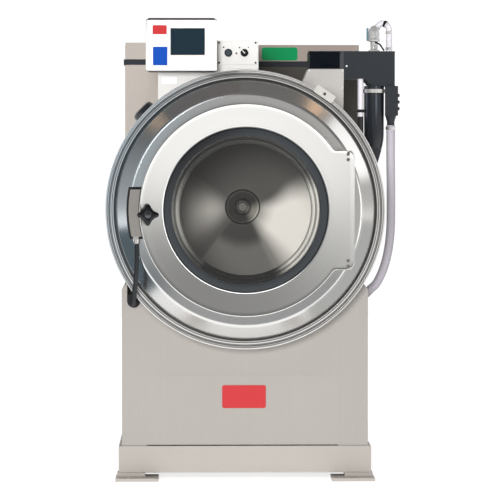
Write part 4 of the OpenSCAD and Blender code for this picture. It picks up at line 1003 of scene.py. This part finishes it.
def fill_pipe_meshes():
    """The fill pipe in metal, its clear arch, and by name its bands, lever and stem.

    The riser carries a union and ends in a dome, the front of an elbow that turns to the
    back. The arch rises behind it and comes down on the clear hose at its right.
    """
    foot = (418.0, -250.0, 1347.1)
    riser = filleted(
        [(0, 0), (18, 0), (18, 7), (12.5, 7), (12.5, 33), (19, 34), (19, 41.5), (17.3, 42.5),
         (17.3, 68), (13.5, 79), (7, 85), (0, 86.5)],
        [0, 1, 1, 1.5, 1, 1.2, 1.2, 1, 5, 5, 6, 0],
    )
    arch_route = [
        (420, -234, 1405), (424, -232, 1420), (434, -236, 1434), (445, -241, 1439.8),
        (457, -247, 1435), (464.5, -250, 1425), (466, -250, 1414),
    ]
    lever_route = [
        (421, -261, 1379), (428, -268, 1375), (436, -271, 1370), (444, -272, 1358),
        (449, -272, 1351),
    ]
    line = smooth_route(arch_route, 96)[0]
    bands = [swept_mesh("fill_band", line[a:b], 11.0) for a, b in ((60, 69), (24, 29))]
    lever = smooth_route(lever_route, 28)[0]
    stem = np.linspace((396.8, -250, 1383), (396.8, -250, 1424), 12)
    return (
        upright_mesh("fill_pipe", riser, foot),
        (
            ("fill_arch", swept_mesh("fill_arch", line, 9.4), "milky_tube"),
            ("fill_bands", joined_mesh("fill_bands", bands), "dark_screw"),
            ("fill_lever", swept_mesh("fill_lever", lever, 2.6, 16), "dark_screw"),
            ("fill_stem", swept_mesh("fill_stem", stem, 3.4, 20), "stem_blue"),
        ),
    )


def supply_hose_mesh():
    """A straight hose down from the supply box that bends on a circle towards the shell."""
    x, y, top, bottom, bend_r, bend_z = 413.0, -330.0, 1236.7, 1095.0, 170.0, 1090.0
    down = np.linspace((x, y, top), (x, y, bottom), 20)
    turn = np.radians(np.linspace(0, 16, 12))
    bend = np.stack(
        [x - bend_r + bend_r * np.cos(turn), np.full(12, y), bend_z - bend_r * np.sin(turn)], 1
    )
    return swept_mesh("supply_hose", np.vstack([down, bend]), 31.7, 72)


# Settings shown in the sidebar


class WasherFinish(bpy.types.PropertyGroup):
    """Sizes of the rounded edges."""

    sheet_edge: FloatProperty(
        name="Sheet edge", description="Radius of the rounded edges of sheets",
        default=0.8, unit="NONE",
    )
    cast_edge: FloatProperty(
        name="Casting edge", description="Radius of the rounded edges of castings",
        default=2.0, unit="NONE",
    )


class WasherStage(bpy.types.PropertyGroup):
    """Camera and light."""

    camera_place: FloatVectorProperty(
        name="Camera", description="Place of the camera", default=(-0.1721, -9.950, 1.0176),
        unit="LENGTH", subtype="XYZ",
    )
    camera_target: FloatVectorProperty(
        name="Target", description="Place the camera looks at",
        default=(0.0143, -0.550, 0.7225), unit="LENGTH", subtype="XYZ",
    )
    lens: FloatProperty(
        name="Lens", description="Focal length on a sensor 36 mm wide", default=217.8,
        unit="CAMERA",
    )
    top_power: FloatProperty(
        name="Top light", description="Power of the large light overhead", default=100.0,
        unit="POWER",
    )
    front_power: FloatProperty(
        name="Front light", description="Power of the large light in front", default=720.0,
        unit="POWER",
    )


# Operators


class WASHER_OT_frame(bpy.types.Operator):
    """Base channels, rails, foot pads and the cradles of the shell"""

    bl_idname = "washer.base_frame"
    bl_label = "Base frame"

    def execute(self, context):
        edge = context.scene.washer_finish.cast_edge
        soften_all(("cross_channels", "side_rails", "floor_pads"), edge)
        soften_all(("shell_cradles",), 1.0)
        return {"FINISHED"}


class WASHER_OT_cabinet(bpy.types.Operator):
    """Front, side and rear sheets, the band, the electrical boxes, their plain plates and a black
    strip of painted shadow
    """

    bl_idname = "washer.cabinet"
    bl_label = "Cabinet"

    def execute(self, context):
        edge = context.scene.washer_finish.sheet_edge
        soften_all(("front_panel", "side_panels"), edge)
        # The rear bulkhead, and the boxes to the right of wing_x, get darker copies of the sheet:
        # painted shade.
        softened("rear_bulkhead", "shaded_sheet", edge)
        soften_all(("cabinet_band",), edge)
        softened("rear_back_panel", "rear_sheet", edge)
        boxes = softened("electrical_boxes", "rear_sheet", edge)
        wing_x = -50
        second_finish(boxes, "shaded_rear_sheet", lambda p: p[:, 0] > wing_x)
        front = front_of("front_panel") + ON_SHEET
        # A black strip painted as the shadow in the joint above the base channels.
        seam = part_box("cross_channels")[1].z / MM + 1.6
        plate("panel_seam", 600, 2.6, 0.5, 1.2, (-8.0, seam, front), "gasket_black")
        plate("front_badge", 137, 72, 1.6, 6, (-3.1, 260.1, front), "plate_red")
        rear = REAR_FACE_H + ON_SHEET
        plate("box_plate", 118, 43, 0.8, 8, (124.0, 1351.2, rear), "plate_green")
        plate("small_plate", 47, 20, 0.6, 1.5, (-236.3, 1250.0, front), "plate_white")
        return {"FINISHED"}


class WASHER_OT_shell(bpy.types.Operator):
    """Round shell with its pressed front, clamp ring, cover plate and vent boot"""

    bl_idname = "washer.shell"
    bl_label = "Shell"

    def execute(self, context):
        shell = filleted(
            [(422, 545), (425, 545), (425, -45), (45, -45), (45, -39), (422, -39)],
            [1, 1, 12, 1, 1, 8],
        )
        turned_stand_in("shell", shell)
        turned_stand_in("front_head", front_head_profile(), "pressed_steel", 50.0)
        turned_stand_in("clamp_ring", clamp_ring_profile(), sharp=50.0)
        cover = softened("clamp_plate", "clamp_sheet", 0.4)
        under_screw = 2.2 - front_of("clamp_plate")
        second_finish(cover, "screw_steel", lambda p: p[:, 1] < under_screw)
        softened("vent_boot", "hose_gloss", 9.0, 5)
        return {"FINISHED"}


class WASHER_OT_door(bpy.types.Operator):
    """Door plate, gaskets, glass, hinges, latch and star grip"""

    bl_idname = "washer.door"
    bl_label = "Door"

    def execute(self, context):
        stand_in("door_ring", door_ring_mesh(), sharp=50.0)
        gasket = filleted(
            [(229, 642), (254.7, 642), (254.7, 649.5), (252.8, 650.0), (250.7, 655.6),
             (236, 655.9), (229, 652.9), (229, 652.3), (240, 652.3), (240, 645.7),
             (229, 645.7)],
            [1, 1, 0.5, 0.5, 3, 4, 2, 0.2, 0.2, 0.2, 0.2],
        )
        seal = filleted([(238, 626.3), (258, 626.3), (258, 641), (242, 641), (238, 637)], 2.0)
        both = [turned_mesh("window_gasket", gasket), turned_mesh("door_seal", seal)]
        stand_in("door_seals", joined_mesh("door_seals", both))
        glass = [(0, 646), (120, 646), (239.2, 646), (239.7, 646.5), (239.7, 651.5),
                 (239.2, 652), (120, 652), (0, 652)]
        turned_stand_in("door_glass", glass)
        hem = filleted(
            [(254.8, 650.2), (257.6, 655.0), (257.4, 656.2), (255.8, 656.6), (254.8, 655.4)],
            [0.2, 0.4, 0.5, 0.7, 0.4],
        )
        add_piece("door_hem", turned_mesh("door_hem", hem), "hem_steel", body="door",
                  slot="door_steel")
        knob = stand_in("star_knob", star_knob_mesh(), sharp=60.0)
        (x, z), cap_r = KNOB_PLACE, 11.5
        second_finish(knob, "knob_cap", lambda p: np.hypot(p[:, 0] - x, p[:, 2] - z) < cap_r)
        soften_all(("hinge_lugs", "hinge_brackets", "latch_pawl"))
        softened("hinge_bolts", "bolt_steel")
        soften_all(("latch_housing",), 4.0, 4)
        add_piece("latch_gasket", latch_gasket_mesh(), "gasket_black", slot="black_rubber")
        return {"FINISHED"}


class WASHER_OT_door_lead(bpy.types.Operator):
    """Conduit from the latch to the front panel, with its nut and gland"""

    bl_idname = "washer.door_lead"
    bl_label = "Door conduit"

    def execute(self, context):
        fittings = softened("conduit_fittings", "fitting_metal", 1.0)
        between_fittings_z, ridge_pitch = 650, 4.2
        second_finish(fittings, "black_rubber", lambda p: p[:, 2] < between_fittings_z)
        hanging_cord(
            "door_conduit", CONDUIT_ROUTE,
            lambda along: 7.1 + 0.5 * np.cos(2 * math.pi * along / ridge_pitch),
            420, 24, 80.0,
        )
        return {"FINISHED"}


class WASHER_OT_drum(bpy.types.Operator):
    """Perforated drum with its dished back, hub, lifting ribs, shaft and pulley"""

    bl_idname = "washer.drum"
    bl_label = "Drum"

    def execute(self, context):
        wall = filleted(
            [(378, -10), (381, -10), (381, 540), (225, 540), (222.5, 534.5), (219, 534.5),
             (217.5, 541), (213, 541.5), (211.5, 539.5), (210, 543), (205.5, 543),
             (204, 539), (204.5, 535.5), (209, 534), (212, 531), (378, 531)],
            [0.5, 1, 10, 2, 1, 1, 1.5, 1, 0.5, 1.5, 2, 2, 2, 2, 2, 8],
        )
        turned_stand_in("drum_wall", wall)
        dish = np.concatenate(
            [[(30.1, 29.0)], np.linspace((64, 29.0), (366, -5.7812), 40), [(372, -4.6)],
             [(377.9, 4.0), (377.9, -10.0), (368, -10.0), (64, 25.0), (30.1, 25.0)]]
        )
        turned_stand_in("drum_back", dish, "drum_back", 50.0)
        hub = filleted(
            [(0, 29.1), (58, 29.1), (58, 32.4), (55, 35.4), (52, 37.4), (47, 36.4),
             (31, 40.6), (27, 43.1), (25.5, 51.6), (22, 55.1), (17.5, 55.1), (16.5, 53.9),
             (0, 53.9)],
            [0, 0.5, 1, 1.5, 2, 1.5, 3, 3, 2, 1.5, 0.5, 0.5, 0],
        )
        both = joined_mesh("drum_hub", [turned_mesh("hub_turned", hub), hub_nut_mesh()])
        hub = stand_in("drum_hub", both, "hub_steel")
        nut_r, nut_h = 15.5, 54.2
        second_finish(hub, "nut_steel", lambda p: (
            (np.hypot(p[:, 0], p[:, 2] - AXIS) < nut_r) & (p[:, 1] < -nut_h)))
        soften_all(("lifting_ribs",), 6.0, 4)
        soften_all(("drive_shaft", "drum_pulley"), 1.0)
        return {"FINISHED"}


class WASHER_OT_controls(bpy.types.Operator):
    """Control housing, box, face and screen, the switch plate and its switches"""

    bl_idname = "washer.controls"
    bl_label = "Controls"

    def execute(self, context):
        for name in ("control_support", "switch_plate"):
            softened(name, "light_sheet", 0.6)
        soften_all(("touch_screen",), 0.6)
        soften_all(("control_box",), 0.8, 3)
        softened("control_face", "white_face", 2.5, 4, "face_rim")
        softened("panel_screws", "dark_screw", 0.4)
        softened("stop_button", "button_grey", 2.8, 3, "black_plastic")
        softened("selector_knob", "black_plastic", 0.9, 3)
        front = front_of("switch_plate")
        mark = plate_mesh("selector_mark", 3.2, 15, 0.4, 1.5, (-5.6, 1340.6, front + 14),
                          edge=0.2, turn=45.0)
        add_piece("selector_mark", mark, "plate_white", body="selector", slot="white_face")
        lamp_x, lamp_z = -27, 1335.5
        lens = plate_mesh("lamp_lens", 5.6, 5.6, 2.6, 2.75, (lamp_x, lamp_z, front + 0.9),
                          bulge=0.9)
        add_piece("lamp_lens", lens, "lamp_red", ("pilot_lamp",))
        for name, size, corner, thick, place, paint in (
            ("lamp_bezel", 9.6, 4.75, 0.8, (lamp_x, lamp_z), "lamp_bezel"),
            ("button_mark", 5.6, 2.67, 0.5, (-66.7, 1354.6), "black_plastic"),
            ("left_mark", 4.4, 2.1, 0.5, (-17.0, 1353.4), "dark_screw"),
            ("right_mark", 3.6, 1.71, 0.5, (10.8, 1354.4), "dark_screw"),
        ):
            plate(name, size, size, thick, corner, (*place, front + ON_FACE), paint)
        face = front_of("control_face") + ON_FACE
        plate("face_badge", 43.7, 27.9, 1.0, 3, (-265.7, 1405.5, face), "plate_red")
        plate("face_plate", 44.7, 57.4, 0.5, 2, (-264.3, 1324.3, face), "plate_blue")
        return {"FINISHED"}


class WASHER_OT_supply(bpy.types.Operator):
    """Supply box with its flap, chute, hoses, clamps, manifold and fill pipe"""

    bl_idname = "washer.supply"
    bl_label = "Supply"

    def execute(self, context):
        soften_all(("supply_box", "dosing_manifold"), 1.5, 3)
        soften_all(("supply_flap",))
        softened("supply_chute", "chute_sheet")
        box = SUPPLY_FACE_H + ON_FACE
        plate("flap_frame", 12.0, 54.0, 1.0, 1.0, (309.5, 1319.0, box), "flap_frame")
        plate("flap_screw", 5.4, 5.4, 1.6, 2.6, (325.0, 1299.5, box), "plate_white")
        chute = front_of("supply_chute") + ON_FACE
        for name, x, z in (("clip_left", 206.0, 1285), ("clip_right", 312.5, 1285),
                           ("clip_low", 312.0, 1230)):
            plate(name, 4.4, 3.8, 2.0, 1.2, (x, z, chute), "plate_white")
        fittings = softened("hose_fittings")
        elbow_x, elbow_z, drip_x = 385, 640, 382
        second_finish(fittings, "clear_tube",
                      lambda p: (p[:, 0] > elbow_x) & (p[:, 2] < elbow_z))
        clamps = softened("hose_clamps", width=0.6)
        second_finish(clamps, "black_rubber", lambda p: p[:, 0] < drip_x)
        pipe, more = fill_pipe_meshes()
        stand_in("fill_pipe", pipe, "pipe_metal")
        for name, mesh, paint in more:
            add_piece(name, mesh, paint, sharp=50.0)
        softened("clear_hoses", "milky_tube")
        stand_in("supply_hose", supply_hose_mesh(), "supply_hose", 50.0)
        hanging_cord("flush_hose", FLUSH_ROUTE, lambda along: 13.9, 160, 40, 50.0)
        return {"FINISHED"}


class WASHER_OT_drive(bpy.types.Operator):
    """Bearings, motor, pulleys, belts, drain and water inlets"""

    bl_idname = "washer.drive"
    bl_label = "Drive, drain and inlets"

    def execute(self, context):
        soften_all(("bearing_housing", "motor", "drain_valve"), 2.0, 3)
        soften_all(("bearings", "motor_pulley", "drive_belts", "drain_ball"), 0.6)
        soften_all(("drain_pipes", "inlet_valves"), 1.0)
        return {"FINISHED"}


# Each row: a name, a place, a target, the lamp's width and height, its power and colour.
MIRRORED_LAMPS = (
    ("window", (2.76, 0.45, 2.45), (0.33, -0.59, 1.04), (1.5, 1.8), 10.5, (1.0, 1.0, 1.0)),
    ("left_lamp", (-2.27, 0.45, 3.10), (-0.27, -0.59, 1.12), (0.4, 0.4), 0.9, (1.0, 0.6, 0.3)),
    ("right_lamp", (1.86, 0.45, 3.44), (0.22, -0.59, 1.15), (0.4, 0.4), 1.5, (1.0, 0.62, 0.34)),
)
# Each row: a name, a corner, the two sides that leave it, and the colour of the card's glow.
CARDS = (
    ("dark_card", (-0.7, -0.8, 0.22), (0, 1.4, 0), (0, 0, 0.52), (0.10, 0.13, 0.15)),
    ("ceiling_card", (-0.36, -0.75, 1.262), (0.34, 0, 0), (0, 0.28, 0), (0.17, 0.155, 0.15)),
    ("floor_card", (-0.3, -0.49, 0.05), (0.6, 0, 0), (0, 0, 0.28), (0.82, 0.81, 0.79)),
    ("grey_card", (0.5, -1.0, 0.03), (0, 2.2, 0), (0.55, 0, 0.72), (0.53, 0.54, 0.53)),
)


def staged(name, data, place=(0, 0, 0), target=None):
    """An object of the stage, which isn't part of the machine, turned towards a target."""
    thing = bpy.data.objects.new(name, data)
    thing.location = place
    if target:
        aim = Vector(target) - Vector(place)
        thing.rotation_euler = aim.to_track_quat("-Z", "Y").to_euler()
    bpy.context.scene.collection.objects.link(thing)
    return thing


def area_light(name, place, target, size, power, colour=(1, 1, 1), glossy=False):
    """A soft light that the camera doesn't see."""
    light = bpy.data.lights.new(name, "AREA")
    light.shape = "RECTANGLE"
    light.size, light.size_y = size
    light.energy = power
    light.color = colour
    lamp = staged(name, light, place, target)
    lamp.visible_camera = False
    lamp.visible_glossy = glossy


def flat_mesh(name, corner, side, other, material):
    """One face: a corner and the two sides that leave it, joined to a parallelogram."""
    corner, side, other = np.array(corner), np.array(side), np.array(other)
    corners = [corner, corner + side, corner + side + other, corner + other]
    mesh = bpy.data.meshes.new(name)
    mesh.from_pydata(corners, [], [(0, 1, 2, 3)])
    mesh.materials.append(material)
    return mesh


def card(name, corner, side, other, glow):
    """A card beside the machine that only reflections see."""
    s = Shader(name)
    glow = s.shade(glow, 1.0 + s.noise(30.0).sway(0.2))
    s.surface((0, 0, 0), 0.9, Emission_Color=glow, Emission_Strength=1.0,
              Specular_IOR_Level=0.0)
    board = staged(name, flat_mesh(name, corner, side, other, s.material))
    for kind in ("camera", "diffuse", "transmission", "volume_scatter", "shadow"):
        setattr(board, "visible_" + kind, False)


def floor():
    """A pale floor that glows a little more the further it is from the machine."""
    corner, side, other = (-9.0, -3.2, 0.0), (18.0, 0, 0), (0, 12.2, 0)
    s = Shader("floor")
    x, y, z = s.xyz()
    far = ((x * x + y * y) ** 0.5).ramp(0.9, 3.0, 0.75, 1.0)
    tone = 1.0 + s.noise(40.0, detail=3.0).sway(0.02)
    s.surface(s.shade((0.5, 0.5, 0.5), tone), 0.8, Emission_Color=s.joined(far, far, far),
              Emission_Strength=1.0)
    staged("floor", flat_mesh("floor", corner, side, other, s.material))


class WorldShader(Shader):
    """Node tree of the surroundings."""

    def __init__(self, world):
        self.start(world, "Generated")

    def glow(self, colour, strength):
        return self.node("ShaderNodeBackground", {}, {"Color": full(colour), "Strength": strength})

    def chosen(self, ray, otherwise, light):
        """One light for a kind of ray and another for the rest."""
        kind = self.node("ShaderNodeLightPath", output=ray)
        return self.node("ShaderNodeMixShader", {}, {0: kind, 1: otherwise, 2: light})


def surroundings(world):
    """White room for the eye; in reflections grey in front, dark above and bright below.

    The front wall is paler beside its middle and the room behind the machine white. What
    is neither seen nor mirrored gets an even weak light.
    """
    s = WorldShader(world)
    x, y, z = s.xyz()
    aside = x.math("ABSOLUTE")
    far_aside = aside.ramp(0.5, 0.9)
    wall = 0.45 + aside.ramp(0.05, 0.22) * 0.24 - far_aside * 0.18 + x.ramp(0.5, 0.9) * 0.10
    lift = x.ramp(0.05, 0.2) * x.ramp(0.6, 0.4) * 0.17
    ceiling = (z * (1.0 - far_aside * 0.6) + lift).ramp(-0.06, 0.32)
    light = wall * (1.0 - ceiling) + ceiling * 0.17
    sunk = z - aside.ramp(0.08, 0.22) * 0.13 - x.ramp(0.1, 0.22) * 0.02
    below = sunk.ramp(-0.22, -0.13, 1.0, 0.0)
    light = light * (1.0 - below) + below * 1.1
    behind = y.ramp(0.42, 0.62)
    light = light * (1.0 - behind) + behind
    unseen = s.chosen(
        "Is Glossy Ray", s.glow((1, 1, 1), 0.22), s.glow((1.0, 0.99, 0.975), light)
    )
    both = s.chosen("Is Camera Ray", unseen, s.glow((1, 1, 1), 1.05))
    s.node("ShaderNodeOutputWorld", {}, {"Surface": both})


class WASHER_OT_stage(bpy.types.Operator):
    """Camera, pale floor and soft light"""

    bl_idname = "washer.stage"
    bl_label = "Stage"

    def execute(self, context):
        scene = context.scene
        settings = scene.washer_stage
        camera = bpy.data.cameras.new("camera")
        camera.lens = settings.lens
        camera.sensor_width = 36.0
        camera.clip_end = 60.0
        scene.camera = staged("camera", camera, settings.camera_place, settings.camera_target)
        scene.view_settings.view_transform = "Standard"
        scene.world = bpy.data.worlds.new("surroundings")
        surroundings(scene.world)
        floor()
        area_light("top_light", (0.0, -1.0, 4.6), (0, -0.6, 0), (7.0, 7.0), settings.top_power)
        area_light("front_light", (-1.1, -8.6, 1.9), (0, -0.4, 0.8), (2.0, 2.0),
                   settings.front_power)
        for lamp in MIRRORED_LAMPS:
            area_light(*lamp, glossy=True)
        for board in CARDS:
            card(*board)
        return {"FINISHED"}


class WASHER_PT_panel(bpy.types.Panel):
    """Lists the steps that build the machine"""

    bl_idname = "WASHER_PT_panel"
    bl_label = "Washer-extractor"
    bl_space_type = "VIEW_3D"
    bl_region_type = "UI"
    bl_category = "Washer"

    def draw(self, context):
        column = self.layout.column()
        for group in (context.scene.washer_finish, context.scene.washer_stage):
            for name in group.__annotations__:
                column.prop(group, name)
        for operator in OPERATORS:
            column.operator(operator.bl_idname)


OPERATORS = (
    WASHER_OT_stage, WASHER_OT_door_lead, WASHER_OT_supply, WASHER_OT_frame,
    WASHER_OT_cabinet, WASHER_OT_shell, WASHER_OT_door, WASHER_OT_drum,
    WASHER_OT_controls, WASHER_OT_drive,
)
CLASSES = (WasherFinish, WasherStage, *OPERATORS, WASHER_PT_panel)


def register():
    for cls in CLASSES:
        bpy.utils.register_class(cls)
    bpy.types.Scene.washer_finish = PointerProperty(type=WasherFinish)
    bpy.types.Scene.washer_stage = PointerProperty(type=WasherStage)


def unregister():
    del bpy.types.Scene.washer_stage
    del bpy.types.Scene.washer_finish
    for cls in reversed(CLASSES):
        bpy.utils.unregister_class(cls)


def main():
    register()
    for operator in OPERATORS:
        group, name = operator.bl_idname.split(".")
        getattr(getattr(bpy.ops, group), name)()


if __name__ == "__main__":
    main()
